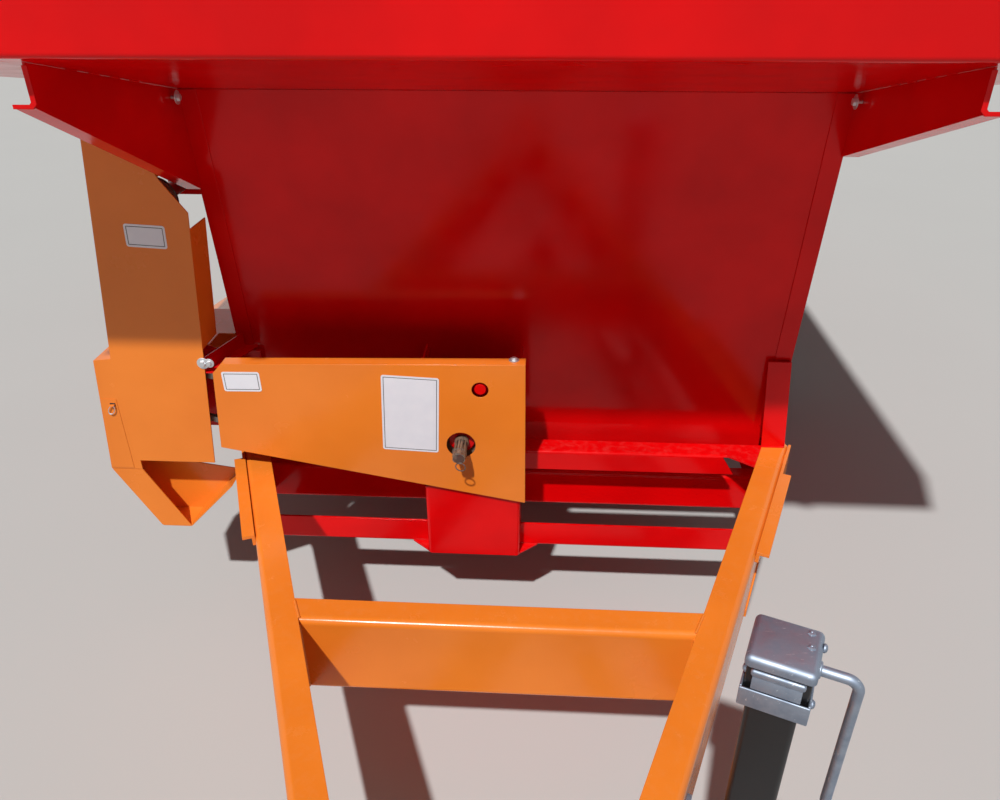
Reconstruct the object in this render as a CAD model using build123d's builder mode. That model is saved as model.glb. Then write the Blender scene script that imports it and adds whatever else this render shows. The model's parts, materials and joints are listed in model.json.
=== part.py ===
# Front-discharge feed wagon: flared box on walking-beam wheels, A-frame tongue with a swivel jack.
# X is across with the discharge at -X, Y runs back from the tongue, Z is up, and the ground is at Z = 0.
from build123d import *
from math import acos, atan2, cos, hypot, pi, radians, sin, sqrt, tan
import os

os.makedirs("parts", exist_ok=True)

# Box sheets
sheet = 3
box_half = 765
wall_foot_z = 595
wall_top_z = 1525
wall_lean = radians(8)
post_leg = 45
seat_gap = 0.3

# Flared extension round the top
flare_width = 455
flare_half = box_half + flare_width
flare_front_reach = 742
band_foot_z = 1660
band_top_z = 1970
band_bend = 9
rim_width = 35
rim_lip = 14

# Chassis and tongue channels
rail_depth = 210
rail_flange = 65
rail_gauge = 6
rail_bend = 12
rail_top_z = 550
rail_bottom_z = rail_top_z - rail_depth
sill_stand_off = 37
sill_outer_x = box_half + sill_stand_off
tongue_angle = radians(22)
tongue_joint = 30
nose_half = 35
nose_cut = tongue_joint + (sill_outer_x + rail_gauge / 2 - nose_half) / tan(tongue_angle)

# Lengths along the wagon, measured from the foot of the front wall
clevis_reach = 260
tongue_reach = nose_cut + clevis_reach
floor_length = 3370
rear_reach = 60
wagon_length = tongue_reach + floor_length + rear_reach
nose_y = -wagon_length / 2
wall_y = nose_y + tongue_reach
rear_y = wall_y + floor_length

# Running gear
wheel_track_half = sill_outer_x + 235
wheel_base_offset = 2000
wheel_spacing = 900
tyre_radius = 380
tyre_half_width = 125
rim_radius = 190.5
spindle_radius = 28
beam_inner_x = sill_outer_x + 20
beam_thickness = 60
axle_tube = 90

# Shafts, sprockets and conveyors
shaft_radius = 19
shaft_fit = 0.3
sprocket_thickness = 8
chain_half = 8
roller_radius = 5
tooth_height = 5
chain_side = 3
chain_gap = sprocket_thickness / 2 + seat_gap
apron_front_offset = 740
apron_rear_offset = 3190
apron_shaft_z = 735
apron_pitch_radius = 60
apron_chain_x = box_half - 205
slat_height = 25
slat_width = 38
trough_front_offset = 80
trough_rear_offset = 620
cross_shaft_z = 640
cross_pitch_radius = 55
cross_drive_x = -(box_half + 180)
cross_idler_x = box_half - 75
cross_chain_inset = 80

# Drive at the front left
shield_offset = 234
input_x = -124
input_z = 645
jackshaft_x = -(box_half + 160)
jackshaft_z = 775
beater_drive_x = -(box_half + 110)
upper_beater_offset = 380
upper_beater_z = 1265
lower_beater_offset = 540
lower_beater_z = 945
beater_reach = 165

# Stakes and bearers along the box
stake_first = 850
stake_pitch = 610
stake_count = 5
stake_depth = 50
stake_width = 70
stake_gusset = 240

# Tongue jack
jack_offset = 1173
jack_tube = 73
jack_wall = 4
jack_stand_off = 64
jack_cap = 97
jack_cap_bore = jack_tube + 2 * seat_gap


def wall_y_at(z):
    """Y of the back of the front wall at a height."""
    return wall_y - (z - wall_foot_z) * tan(wall_lean)


wall_top_y = wall_y_at(wall_top_z)
wall_step = sheet / cos(wall_lean)
band_front_y = wall_y - flare_front_reach
stakes_y = [wall_y + stake_first + stake_pitch * i for i in range(stake_count)]


def save(piece, name):
    piece.part.label = name
    export_step(piece.part, f"parts/{name}.step")


def across(x):
    """Plane facing +X at x, with Y to its right and Z up."""
    return Plane.YZ.offset(x)


def upright(y):
    """Plane facing -Y at y, with X to its right and Z up."""
    return Plane(origin=(0, y, 0), x_dir=(1, 0, 0), z_dir=(0, -1, 0))


def folded(plane, points, gauge, bend):
    """Section of a folded sheet that follows the points with its middle."""
    with BuildSketch(plane) as section:
        with BuildLine():
            FilletPolyline(*points, radius=bend)
        trace(line_width=gauge)
    return section.sketch


def outline(plane, points):
    """Flat outline with straight sides."""
    with BuildSketch(plane) as section:
        Polygon(*points, align=None)
    return section.sketch


def loop_area(plane, first, first_radius, second, second_radius):
    """Outline of a taut loop round two circles."""
    dx = second[0] - first[0]
    dy = second[1] - first[1]
    heading = atan2(dy, dx)
    spread = acos((first_radius - second_radius) / hypot(dx, dy))
    corners = []
    for (x, y), radius, turn in (
        (first, first_radius, spread),
        (second, second_radius, spread),
        (second, second_radius, -spread),
        (first, first_radius, -spread),
    ):
        corners.append((x + radius * cos(heading + turn), y + radius * sin(heading + turn)))
    with BuildSketch(plane) as area:
        Polygon(*corners, align=None)
        with Locations(first):
            Circle(first_radius)
        with Locations(second):
            Circle(second_radius)
    return area.sketch


def tooth_reach(radius):
    """Length of a chain's straight run from its tangent point to where a roller clears the teeth."""
    return sqrt((radius + tooth_height + roller_radius + 2) ** 2 - radius**2)


def chain_loop(plane, first, first_radius, second, second_radius, roller_pitch):
    """Two link strips either side of the sprockets, joined by rollers on the straight runs."""
    with BuildPart() as chain:
        for near in (chain_gap, -chain_gap - chain_side):
            side = plane.offset(near)
            outer = loop_area(side, first, first_radius + chain_half, second, second_radius + chain_half)
            inner = loop_area(side, first, first_radius - chain_half, second, second_radius - chain_half)
            extrude(outer, amount=chain_side)
            extrude(inner, amount=chain_side, mode=Mode.SUBTRACT)
        centre = Vector(*first)
        span = Vector(*second) - centre
        spread = acos((first_radius - second_radius) / span.length)
        run = sqrt(span.length**2 - (first_radius - second_radius) ** 2)
        first_clear = tooth_reach(first_radius)
        straight = run - first_clear - tooth_reach(second_radius)
        count = int(straight / roller_pitch) + 1
        places = []
        for turn in (spread, -spread):
            out = span.normalized().rotate(Axis.Z, turn * 180 / pi)
            start = centre + out * first_radius
            along = (Vector(*second) + out * second_radius - start).normalized()
            for i in range(count):
                places.append(start + along * (first_clear + straight * (i + 0.5) / count))
        with BuildSketch(plane.offset(-chain_gap)):
            with Locations(*places):
                RegularPolygon(roller_radius, 6)
        extrude(amount=2 * chain_gap)
    return chain.part


def sprocket_face(plane, centre, teeth, pitch_radius):
    """Toothed disc outline between the link strips."""
    with BuildSketch(plane) as face:
        with Locations(centre):
            Circle(pitch_radius + tooth_height)
        notch = pitch_radius * pi / teeth * 0.5
        with Locations(centre):
            with PolarLocations(pitch_radius + 3, teeth):
                RegularPolygon(notch, 6, mode=Mode.SUBTRACT)
    return face.sketch


# Tongue
rail_dir = Vector(-sin(tongue_angle), -cos(tongue_angle), 0)
rail_inward = Vector(-cos(tongue_angle), sin(tongue_angle), 0)
rail_root = Vector(sill_outer_x + rail_gauge / 2, wall_y - tongue_joint, rail_top_z - rail_depth / 2)
rail_half = rail_depth / 2 - rail_gauge / 2


def rail_point(ahead):
    """Point on the right rail's outer web at a distance ahead of the front wall's foot."""
    return rail_root + rail_dir * ((ahead - tongue_joint) / cos(tongue_angle))


with BuildPart() as tongue_rails:
    rail_plane = Plane(origin=rail_root - rail_dir * 60, x_dir=rail_inward, z_dir=rail_dir)
    rail_section = folded(
        rail_plane,
        [
            (rail_flange + 3, rail_half),
            (rail_gauge / 2, rail_half),
            (rail_gauge / 2, -rail_half),
            (rail_flange + 3, -rail_half),
        ],
        rail_gauge,
        rail_bend,
    )
    extrude(rail_section, amount=(nose_cut + 200) / cos(tongue_angle))
    split(bisect_by=Plane(origin=(0, wall_y - tongue_joint, 0), z_dir=(0, -1, 0)))
    split(bisect_by=Plane(origin=(0, wall_y - nose_cut, 0), z_dir=(0, 1, 0)))
    split(bisect_by=Plane.YZ)
    mirror(about=Plane.YZ)
save(tongue_rails, "tongue_rails")


def split_between_rails(ahead, clearance):
    """Trim a cross piece to the inner edges of the two rails' flanges."""
    edge = rail_point(ahead) + rail_inward * (rail_flange + 3 + clearance)
    for side in (1, -1):
        split(
            bisect_by=Plane(
                origin=(side * edge.X, edge.Y, edge.Z),
                z_dir=(side * rail_inward.X, rail_inward.Y, 0),
            )
        )


crossmember_front = 796
crossmember_back = 731
with BuildPart() as tongue_crossmember:
    extrude(
        folded(
            across(0),
            [
                (wall_y - crossmember_back, rail_top_z - rail_gauge / 2),
                (wall_y - crossmember_front + rail_gauge / 2, rail_top_z - rail_gauge / 2),
                (wall_y - crossmember_front + rail_gauge / 2, rail_bottom_z + rail_gauge / 2),
                (wall_y - crossmember_back, rail_bottom_z + rail_gauge / 2),
            ],
            rail_gauge,
            rail_bend,
        ),
        amount=box_half,
        both=True,
    )
    split_between_rails(crossmember_front, 0)
save(tongue_crossmember, "tongue_crossmember")

gusset_length = 490
gusset_top_z = 554
gusset_thickness = 8
gusset_flange = 30
with BuildPart() as tongue_gussets:
    gusset_plane = Plane(origin=rail_point(tongue_joint), x_dir=rail_dir, z_dir=-rail_inward)
    drop = rail_root.Z
    with BuildSketch(gusset_plane):
        with BuildLine():
            Polyline(
                (4, gusset_top_z - drop),
                (60, gusset_top_z - drop),
                (gusset_length / cos(tongue_angle), rail_bottom_z + 30 - drop),
                (gusset_length / cos(tongue_angle), rail_bottom_z - drop),
                (4, rail_bottom_z - drop),
                close=True,
            )
        make_face()
    extrude(amount=gusset_thickness)
    with BuildSketch(gusset_plane):
        with BuildLine():
            Polyline(
                (gusset_length / 3, rail_bottom_z - drop),
                (gusset_length / cos(tongue_angle), rail_bottom_z - drop),
                (gusset_length / cos(tongue_angle), rail_bottom_z + gusset_thickness - drop),
                (gusset_length / 3, rail_bottom_z + gusset_thickness - drop),
                close=True,
            )
        make_face()
    extrude(amount=gusset_flange)
    mirror(about=Plane.YZ)
save(tongue_gussets, "tongue_gussets")

# Drawbar clevis on the nose
clevis_width = 90
clevis_plate = 20
clevis_gap = 70
clevis_pin_radius = 16.5
clevis_pin_inset = 50
nose_plate = 12
clevis_rib = 78
hitch_z = rail_top_z - rail_depth / 2
clevis_root_y = wall_y - nose_cut
with BuildPart() as hitch_clevis:
    with BuildSketch(upright(clevis_root_y)):
        with Locations((0, hitch_z)):
            RectangleRounded(180, rail_depth - 20, 12)
    extrude(amount=nose_plate)
    for level in (hitch_z - clevis_gap / 2 - clevis_plate, hitch_z + clevis_gap / 2):
        with BuildSketch(Plane.XY.offset(level)):
            with BuildLine():
                half = clevis_width / 2
                Line((-half, clevis_root_y - nose_plate), (half, clevis_root_y - nose_plate))
                Line((half, clevis_root_y - nose_plate), (half, nose_y + half))
                ThreePointArc((half, nose_y + half), (0, nose_y), (-half, nose_y + half))
                Line((-half, nose_y + half), (-half, clevis_root_y - nose_plate))
            make_face()
            with Locations((0, nose_y + clevis_pin_inset)):
                Circle(clevis_pin_radius, mode=Mode.SUBTRACT)
        extrude(amount=clevis_plate)
    with BuildSketch(across(-8)):
        Polygon(
            (clevis_root_y - nose_plate, hitch_z - clevis_gap / 2),
            (clevis_root_y - nose_plate, hitch_z + clevis_gap / 2),
            (clevis_root_y - nose_plate - clevis_rib, hitch_z + clevis_gap / 2),
            (clevis_root_y - nose_plate - clevis_rib, hitch_z - clevis_gap / 2),
            align=None,
        )
    extrude(amount=16)
save(hitch_clevis, "hitch_clevis")

# Chassis
with BuildPart() as chassis_sills:
    web_x = sill_outer_x - rail_gauge / 2
    sill_section = folded(
        upright(wall_y - tongue_joint),
        [
            (sill_outer_x - rail_flange, rail_top_z - rail_gauge / 2),
            (web_x, rail_top_z - rail_gauge / 2),
            (web_x, rail_bottom_z + rail_gauge / 2),
            (sill_outer_x - rail_flange, rail_bottom_z + rail_gauge / 2),
        ],
        rail_gauge,
        rail_bend,
    )
    extrude(sill_section, amount=-(floor_length + tongue_joint))
    mirror(about=Plane.YZ)
save(chassis_sills, "chassis_sills")

member_gauge = 5
member_flange = 50
# Crossmembers: distance behind the wall's foot, foot height, depth, half length
member_table = (
    (-tongue_joint, 310, 118, sill_outer_x - rail_flange - seat_gap),
    (950, 390, 120, sill_outer_x - rail_gauge),
    (1950, 390, 120, sill_outer_x - rail_gauge),
    (2950, 390, 120, sill_outer_x - rail_gauge),
)
with BuildPart() as chassis_crossmembers:
    for behind, foot, depth, half in member_table:
        start = wall_y + behind
        low = foot + member_gauge / 2
        high = foot + depth - member_gauge / 2
        web = start + member_gauge / 2
        channel = [(start + member_flange, high), (web, high), (web, low), (start + member_flange, low)]
        extrude(folded(across(0), channel, member_gauge, 8), amount=half, both=True)
save(chassis_crossmembers, "chassis_crossmembers")

with BuildPart() as rear_bumper:
    with BuildSketch(across(0)):
        with Locations((rear_y + rear_reach / 2, rail_top_z - 50)):
            RectangleRounded(rear_reach, 100, 8)
            RectangleRounded(rear_reach - 10, 90, 4, mode=Mode.SUBTRACT)
    extrude(amount=sill_outer_x, both=True)
save(rear_bumper, "rear_bumper")

bearer_height = wall_foot_z - rail_top_z
with BuildPart() as cross_bearers:
    for y in stakes_y:
        with BuildSketch(across(0)):
            with Locations((y, rail_top_z + bearer_height / 2)):
                Rectangle(60, bearer_height)
                Rectangle(54, bearer_height - 6, mode=Mode.SUBTRACT)
        extrude(amount=sill_outer_x, both=True)
save(cross_bearers, "cross_bearers")

# Front cross angles under the wall
angle_leg = 62
angle_gauge = 6
angle_front = 104
pedestal_left = input_x - 106
pedestal_right = input_x + 159
with BuildPart() as front_angle:
    angle_face = wall_y - angle_front + angle_gauge / 2
    angle_top = rail_top_z - angle_gauge / 2
    legs = [
        (wall_y - angle_front + angle_leg, angle_top),
        (angle_face, angle_top),
        (angle_face, rail_top_z - angle_leg),
    ]
    extrude(folded(across(pedestal_right + seat_gap), legs, angle_gauge, angle_gauge), amount=box_half)
    with BuildSketch(upright(wall_y)):
        Polygon(
            (sill_outer_x - 197, rail_top_z - angle_gauge),
            (sill_outer_x - 161, rail_top_z - angle_leg - 1),
            (sill_outer_x, rail_top_z - angle_leg - 1),
            (sill_outer_x, rail_top_z - angle_gauge),
            align=None,
        )
    extrude(amount=angle_front + 1, mode=Mode.SUBTRACT)
    with BuildSketch(Plane.XY.offset(rail_top_z - angle_gauge)):
        Polygon(
            (sill_outer_x - 197, wall_y - angle_front + 12),
            (sill_outer_x - 102, wall_y - angle_front - 61),
            (sill_outer_x, wall_y - angle_front - 61),
            (sill_outer_x, wall_y - angle_front + 12),
            align=None,
        )
    extrude(amount=angle_gauge)
    split_between_rails(angle_front, 0)
save(front_angle, "front_angle")

bar_front = 170
bar_leg = 78
bar_top_z = rail_bottom_z - seat_gap
bar_half = box_half - 65
with BuildPart() as lower_bar:
    bar_face = wall_y - bar_front + angle_gauge / 2
    bar_foot = bar_top_z - bar_leg + angle_gauge / 2
    legs = [(wall_y - bar_front + bar_leg, bar_foot), (bar_face, bar_foot), (bar_face, bar_top_z)]
    extrude(folded(across(0), legs, angle_gauge, angle_gauge), amount=bar_half, both=True)
save(lower_bar, "lower_bar")

# Stand that carries the input shaft on the lower bar: a box foot with an upright channel behind the chain
pedestal_front = 222
pedestal_step_z = 500
carrier_front = 180
pedestal_gauge = 5
pedestal_foot_z = bar_top_z - bar_leg
pedestal_top_z = 860
pedestal_back = 60
bearing_radius = 48
bearing_depth = 30
bearing_lip = 4
stop_x = input_x + 53
stop_z = input_z + 169


def channel_plan(level, front):
    """Plan of the stand's channel, open at the back, at a height."""
    face = wall_y - front + pedestal_gauge / 2
    back = wall_y - pedestal_back
    left = pedestal_left + pedestal_gauge / 2
    right = pedestal_right - pedestal_gauge / 2
    corners = [(left, back), (left, face), (right, face), (right, back)]
    return folded(Plane.XY.offset(level), corners, pedestal_gauge, 8)


with BuildPart() as shaft_pedestal:
    extrude(channel_plan(pedestal_foot_z, pedestal_front), amount=pedestal_step_z - pedestal_foot_z)
    extrude(channel_plan(pedestal_step_z, carrier_front), amount=pedestal_top_z - pedestal_step_z)
    with BuildSketch(across(pedestal_left)):
        Polygon(
            (wall_y - pedestal_front, pedestal_step_z - pedestal_gauge),
            (wall_y - pedestal_front, pedestal_step_z),
            (wall_y - carrier_front + pedestal_gauge, pedestal_step_z),
            (wall_y - carrier_front + pedestal_gauge, pedestal_step_z - pedestal_gauge),
            align=None,
        )
    extrude(amount=pedestal_right - pedestal_left)
    with BuildSketch(across(pedestal_left - 1)):
        with Locations((wall_y - bar_front + bar_leg / 2, pedestal_foot_z + bar_leg / 2)):
            Rectangle(bar_leg + 2 * seat_gap, bar_leg + 2 * seat_gap)
    extrude(amount=pedestal_right - pedestal_left + 2, mode=Mode.SUBTRACT)
    for side_x, out in ((pedestal_left, -1), (pedestal_right, 1)):
        with BuildSketch(Plane.XY.offset(pedestal_foot_z)):
            Polygon(
                (side_x, wall_y - pedestal_front + 8),
                (side_x, wall_y - bar_front - seat_gap),
                (side_x + out * (pedestal_front - bar_front), wall_y - bar_front - seat_gap),
                align=None,
            )
        extrude(amount=angle_gauge)
    with BuildSketch(upright(wall_y - carrier_front + bearing_depth)):
        with Locations((input_x, input_z)):
            Circle(bearing_radius)
    extrude(amount=bearing_depth + bearing_lip)
    with BuildSketch(upright(wall_y - carrier_front + bearing_depth)):
        with Locations((input_x, input_z)):
            Circle(shaft_radius + shaft_fit)
    extrude(amount=bearing_depth + bearing_lip, mode=Mode.SUBTRACT)
    with BuildSketch(upright(wall_y - carrier_front)):
        with Locations((stop_x, stop_z)):
            Circle(15)
        with Locations((pedestal_right - 15, input_z - 80), (pedestal_right - 15, pedestal_top_z - 20)):
            Rectangle(26, 8)
    extrude(amount=shield_offset - carrier_front - sheet - seat_gap)
save(shaft_pedestal, "shaft_pedestal")

# Running gear
axle_y = wall_y + wheel_base_offset
pivot_z = rail_bottom_z - axle_tube / 2
pivot_radius = 30
with BuildPart() as axle_tube_assembly:
    with BuildSketch(across(0)):
        with Locations((axle_y, pivot_z)):
            RectangleRounded(axle_tube, axle_tube, 10)
            RectangleRounded(axle_tube - 16, axle_tube - 16, 5, mode=Mode.SUBTRACT)
    extrude(amount=sill_outer_x, both=True)
    for side in (1, -1):
        with BuildSketch(across(side * (sill_outer_x - 10))):
            with Locations((axle_y, pivot_z)):
                RectangleRounded(axle_tube, axle_tube, 10)
        extrude(amount=side * 10)
        with BuildSketch(across(side * sill_outer_x)):
            with Locations((axle_y, pivot_z)):
                Circle(pivot_radius)
        extrude(amount=side * (beam_inner_x + beam_thickness + 12 - sill_outer_x))
save(axle_tube_assembly, "axle_tube")

# Outline of a walking beam: distance from its pivot, height
beam_outline = (
    (-515, tyre_radius + 45),
    (-515, tyre_radius - 45),
    (-90, pivot_z - 60),
    (90, pivot_z - 60),
    (515, tyre_radius - 45),
    (515, tyre_radius + 45),
    (110, pivot_z + 62),
    (-110, pivot_z + 62),
)
with BuildPart() as walking_beams:
    with BuildSketch(across(beam_inner_x)):
        with BuildLine():
            Polyline(*[(axle_y + along, height) for along, height in beam_outline], close=True)
        make_face()
        fillet(vertices(), 22)
        with Locations((axle_y, pivot_z)):
            Circle(pivot_radius + shaft_fit, mode=Mode.SUBTRACT)
    extrude(amount=beam_thickness)
    with BuildSketch(across(beam_inner_x + beam_thickness)):
        with Locations((axle_y - wheel_spacing / 2, tyre_radius), (axle_y + wheel_spacing / 2, tyre_radius)):
            Circle(spindle_radius)
    extrude(amount=wheel_track_half + 72 - beam_inner_x - beam_thickness)
    mirror(about=Plane.YZ)
save(walking_beams, "walking_beams")

# Half of the tyre's outline, from bead to crown and back inside: distance from the centre plane, radius
tyre_outside = (
    (90, rim_radius + 0.5),
    (90, rim_radius + 21),
    (tyre_half_width, 290),
    (tyre_half_width - 20, tyre_radius - 12),
    (tyre_half_width - 72, tyre_radius),
)
tyre_inside = (
    (tyre_half_width - 36, tyre_radius - 26),
    (tyre_half_width - 15, 290),
    (76, rim_radius + 24),
    (76, rim_radius + 0.5),
)
wheel_names = (
    ("front_left", -1, -wheel_spacing / 2),
    ("front_right", 1, -wheel_spacing / 2),
    ("rear_left", -1, wheel_spacing / 2),
    ("rear_right", 1, wheel_spacing / 2),
)
for name, side, along in wheel_names:
    centre = (side * wheel_track_half, axle_y + along, tyre_radius)
    wheel_axis = Axis(centre, (1, 0, 0))
    wheel_plane = Plane(origin=centre, x_dir=(1, 0, 0), z_dir=(0, -1, 0))
    with BuildPart() as tyre:
        ring = list(tyre_outside) + [(-x, r) for x, r in reversed(tyre_outside)]
        ring += [(-x, r) for x, r in reversed(tyre_inside)] + list(tyre_inside)
        with BuildSketch(wheel_plane):
            with BuildLine():
                Polyline(*ring, close=True)
            make_face()
        revolve(axis=wheel_axis)
    save(tyre, f"tyre_{name}")
    with BuildPart() as rim:
        with BuildSketch(wheel_plane):
            with BuildLine():
                Polyline(
                    (-93.2, rim_radius + 17),
                    (-93.2, rim_radius - 2.5),
                    (-42, rim_radius - 2.5),
                    (-27, rim_radius - 20),
                    (27, rim_radius - 20),
                    (42, rim_radius - 2.5),
                    (93.2, rim_radius - 2.5),
                    (93.2, rim_radius + 17),
                )
            trace(line_width=5)
            with BuildLine():
                Polyline(
                    (side * 20, rim_radius - 20),
                    (side * 48, 125),
                    (side * 30, 85),
                    (side * 30, 40),
                )
            trace(line_width=7)
            with Locations((side * 15, (spindle_radius + shaft_fit + 52) / 2)):
                Rectangle(120, 52 - spindle_radius - shaft_fit)
            with Locations((side * 83, 21)):
                Rectangle(16, 42)
        revolve(axis=wheel_axis)
    save(rim, f"rim_{name}")

# Box walls
wall_seat_z = rail_top_z + seat_gap
wall_skirt_z = rail_top_z - 50
with BuildPart() as front_wall:
    for low, high, half in (
        (wall_seat_z, wall_top_z, box_half - sheet),
        (wall_skirt_z, wall_seat_z, sill_outer_x - rail_flange - 5),
    ):
        strip = [
            (wall_y_at(low), low),
            (wall_y_at(high), high),
            (wall_y_at(high) - wall_step, high),
            (wall_y_at(low) - wall_step, low),
        ]
        extrude(outline(across(0), strip), amount=half, both=True)
save(front_wall, "front_wall")

side_rear_y = rear_y - sheet
opening_top_z = 830
shaft_holes = (
    (wall_y + upper_beater_offset, upper_beater_z),
    (wall_y + lower_beater_offset, lower_beater_z),
    (wall_y + apron_front_offset, apron_shaft_z),
    (wall_y + apron_rear_offset, apron_shaft_z),
)


def side_wall(side):
    """Side sheet with the folded post in front of the front wall's edge."""
    with BuildPart() as wall:
        with BuildSketch(across(side * (box_half - sheet))):
            Polygon(
                (wall_y - 2 * wall_step, wall_foot_z),
                (wall_top_y - 2 * wall_step, wall_top_z),
                (side_rear_y, wall_top_z),
                (side_rear_y, wall_foot_z),
                align=None,
            )
            with Locations(*shaft_holes):
                Circle(shaft_radius + 1, mode=Mode.SUBTRACT)
        extrude(amount=side * sheet)
        with BuildSketch(across(side * (box_half - post_leg))):
            Polygon(
                (wall_y - wall_step, wall_foot_z),
                (wall_top_y - wall_step, wall_top_z),
                (wall_top_y - 2 * wall_step, wall_top_z),
                (wall_y - 2 * wall_step, wall_foot_z),
                align=None,
            )
        extrude(amount=side * post_leg)
        if side < 0:
            with BuildSketch(across(-box_half - 5)):
                with Locations((wall_y + (trough_front_offset + trough_rear_offset) / 2, 0)):
                    Polygon(
                        (-(trough_rear_offset - trough_front_offset) / 2, wall_foot_z - 5),
                        ((trough_rear_offset - trough_front_offset) / 2, wall_foot_z - 5),
                        ((trough_rear_offset - trough_front_offset) / 2, opening_top_z),
                        (-(trough_rear_offset - trough_front_offset) / 2, opening_top_z),
                        align=None,
                    )
            extrude(amount=sheet + 10, mode=Mode.SUBTRACT)
    return wall


side_wall_right = side_wall(1)
save(side_wall_right, "side_wall_right")
side_wall_left = side_wall(-1)
save(side_wall_left, "side_wall_left")

rear_foot_z = 850
rear_ribs_x = (-500, 0, 500)
with BuildPart() as rear_wall:
    with BuildSketch(upright(rear_y)):
        Polygon(
            (-box_half, rear_foot_z),
            (box_half, rear_foot_z),
            (box_half, wall_top_z),
            (-box_half, wall_top_z),
            align=None,
        )
    extrude(amount=sheet)
    for x in rear_ribs_x:
        with BuildSketch(Plane.XY.offset(rear_foot_z)):
            with BuildLine():
                Polyline(
                    (x - 45, rear_y + 1.5),
                    (x - 28, rear_y + 1.5),
                    (x - 22, rear_y + 40),
                    (x + 22, rear_y + 40),
                    (x + 28, rear_y + 1.5),
                    (x + 45, rear_y + 1.5),
                )
            trace(line_width=3)
        extrude(amount=wall_top_z - rear_foot_z)
save(rear_wall, "rear_wall")

# Flared extension: ledge, band and rim in one folded panel on each side, mitred at the front corners
ledge_start_z = wall_top_z + sheet / 2
band_mid_x = flare_half - sheet / 2
band_mid_y = band_front_y + sheet / 2
side_slope = (band_foot_z - ledge_start_z) / (band_mid_x - box_half)
front_slope = (band_foot_z - ledge_start_z) / (wall_top_y - band_mid_y)
mitre_inner = Vector(box_half, wall_top_y)
mitre_outer = Vector(band_mid_x, band_mid_y)
mitre_far = mitre_outer + (mitre_outer - mitre_inner) * 0.1
mitre_near = mitre_inner - (mitre_outer - mitre_inner) * 0.02
mitre_foot_z = wall_top_z - 50
mitre_height = band_top_z + 50 - mitre_foot_z


def ledge_underside_front(y):
    return ledge_start_z + front_slope * (wall_top_y - y) - sheet / 2 * hypot(1, front_slope) - seat_gap


def ledge_underside_side(x):
    return ledge_start_z + side_slope * (abs(x) - box_half) - sheet / 2 * hypot(1, side_slope) - seat_gap


with BuildPart() as flare_front:
    extrude(
        folded(
            across(0),
            [
                (wall_top_y, ledge_start_z),
                (band_mid_y, band_foot_z),
                (band_mid_y, band_top_z - sheet / 2),
                (band_mid_y + rim_width, band_top_z - sheet / 2),
                (band_mid_y + rim_width, band_top_z - rim_lip),
            ],
            sheet,
            [band_bend, 5, 5],
        ),
        amount=flare_half + 20,
        both=True,
    )
    with BuildSketch(Plane.XY.offset(mitre_foot_z)):
        Polygon(
            (mitre_near.X, mitre_near.Y),
            (mitre_far.X, mitre_far.Y),
            (-mitre_far.X, mitre_far.Y),
            (-mitre_near.X, mitre_near.Y),
            align=None,
        )
    extrude(amount=mitre_height, mode=Mode.INTERSECT)
save(flare_front, "flare_front")


def flare_side(side):
    """Ledge, band and rim of one side panel."""
    with BuildPart() as panel:
        extrude(
            folded(
                upright(side_rear_y),
                [
                    (side * box_half, ledge_start_z),
                    (side * band_mid_x, band_foot_z),
                    (side * band_mid_x, band_top_z - sheet / 2),
                    (side * (band_mid_x - rim_width), band_top_z - sheet / 2),
                    (side * (band_mid_x - rim_width), band_top_z - rim_lip),
                ],
                sheet,
                [band_bend, 5, 5],
            ),
            amount=side_rear_y - mitre_far.Y,
        )
        with BuildSketch(Plane.XY.offset(mitre_foot_z)):
            Polygon(
                (side * mitre_near.X, mitre_near.Y),
                (side * mitre_far.X, mitre_far.Y),
                (side * (flare_half + 60), side_rear_y),
                (side * mitre_near.X, side_rear_y),
                align=None,
            )
        extrude(amount=mitre_height, mode=Mode.INTERSECT)
    return panel


flare_sides = flare_side(1)
with flare_sides:
    mirror(about=Plane.YZ)
save(flare_sides, "flare_sides")

with BuildPart() as flare_rear:
    with BuildSketch(upright(rear_y)):
        Polygon(
            (-box_half, wall_top_z),
            (box_half, wall_top_z),
            (flare_half, band_foot_z - 3),
            (flare_half, band_top_z),
            (-flare_half, band_top_z),
            (-flare_half, band_foot_z - 3),
            align=None,
        )
    extrude(amount=sheet)
    with BuildSketch(across(0)):
        Polygon(
            (rear_y, band_top_z),
            (rear_y + rim_width, band_top_z),
            (rear_y + rim_width, band_top_z - rim_lip),
            (rear_y + rim_width - sheet, band_top_z - rim_lip),
            (rear_y + rim_width - sheet, band_top_z - sheet),
            (rear_y, band_top_z - sheet),
            align=None,
        )
    extrude(amount=flare_half, both=True)
save(flare_rear, "flare_rear")

# Wings under the front ledge, in line with the box sides
wing_roots_z = ((-1, 1292), (1, 1388))
wing_tip_z = 1580
wing_tip_y = band_front_y + 50
wing_flange = 38
wing_gauge = 4
with BuildPart() as front_wings:
    wing_top_y = wall_top_y - 2 * wall_step - seat_gap
    for side, root_z in wing_roots_z:
        wing_root_y = wall_y_at(root_z) - 2 * wall_step - seat_gap
        with BuildSketch(across(side * (box_half - wing_gauge))):
            Polygon(
                (wing_root_y, root_z),
                (wing_top_y, ledge_underside_front(wing_top_y)),
                (wing_tip_y, ledge_underside_front(wing_tip_y)),
                (wing_tip_y, wing_tip_z),
                align=None,
            )
        extrude(amount=side * wing_gauge)
        with BuildSketch(across(side * (box_half - wing_gauge))):
            Polygon(
                (wing_root_y, root_z),
                (wing_tip_y, wing_tip_z),
                (wing_tip_y, wing_tip_z - wing_gauge),
                (wing_root_y + wing_gauge * tan(wall_lean), root_z - wing_gauge),
                align=None,
            )
        extrude(amount=side * wing_flange)
save(front_wings, "front_wings")

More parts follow.
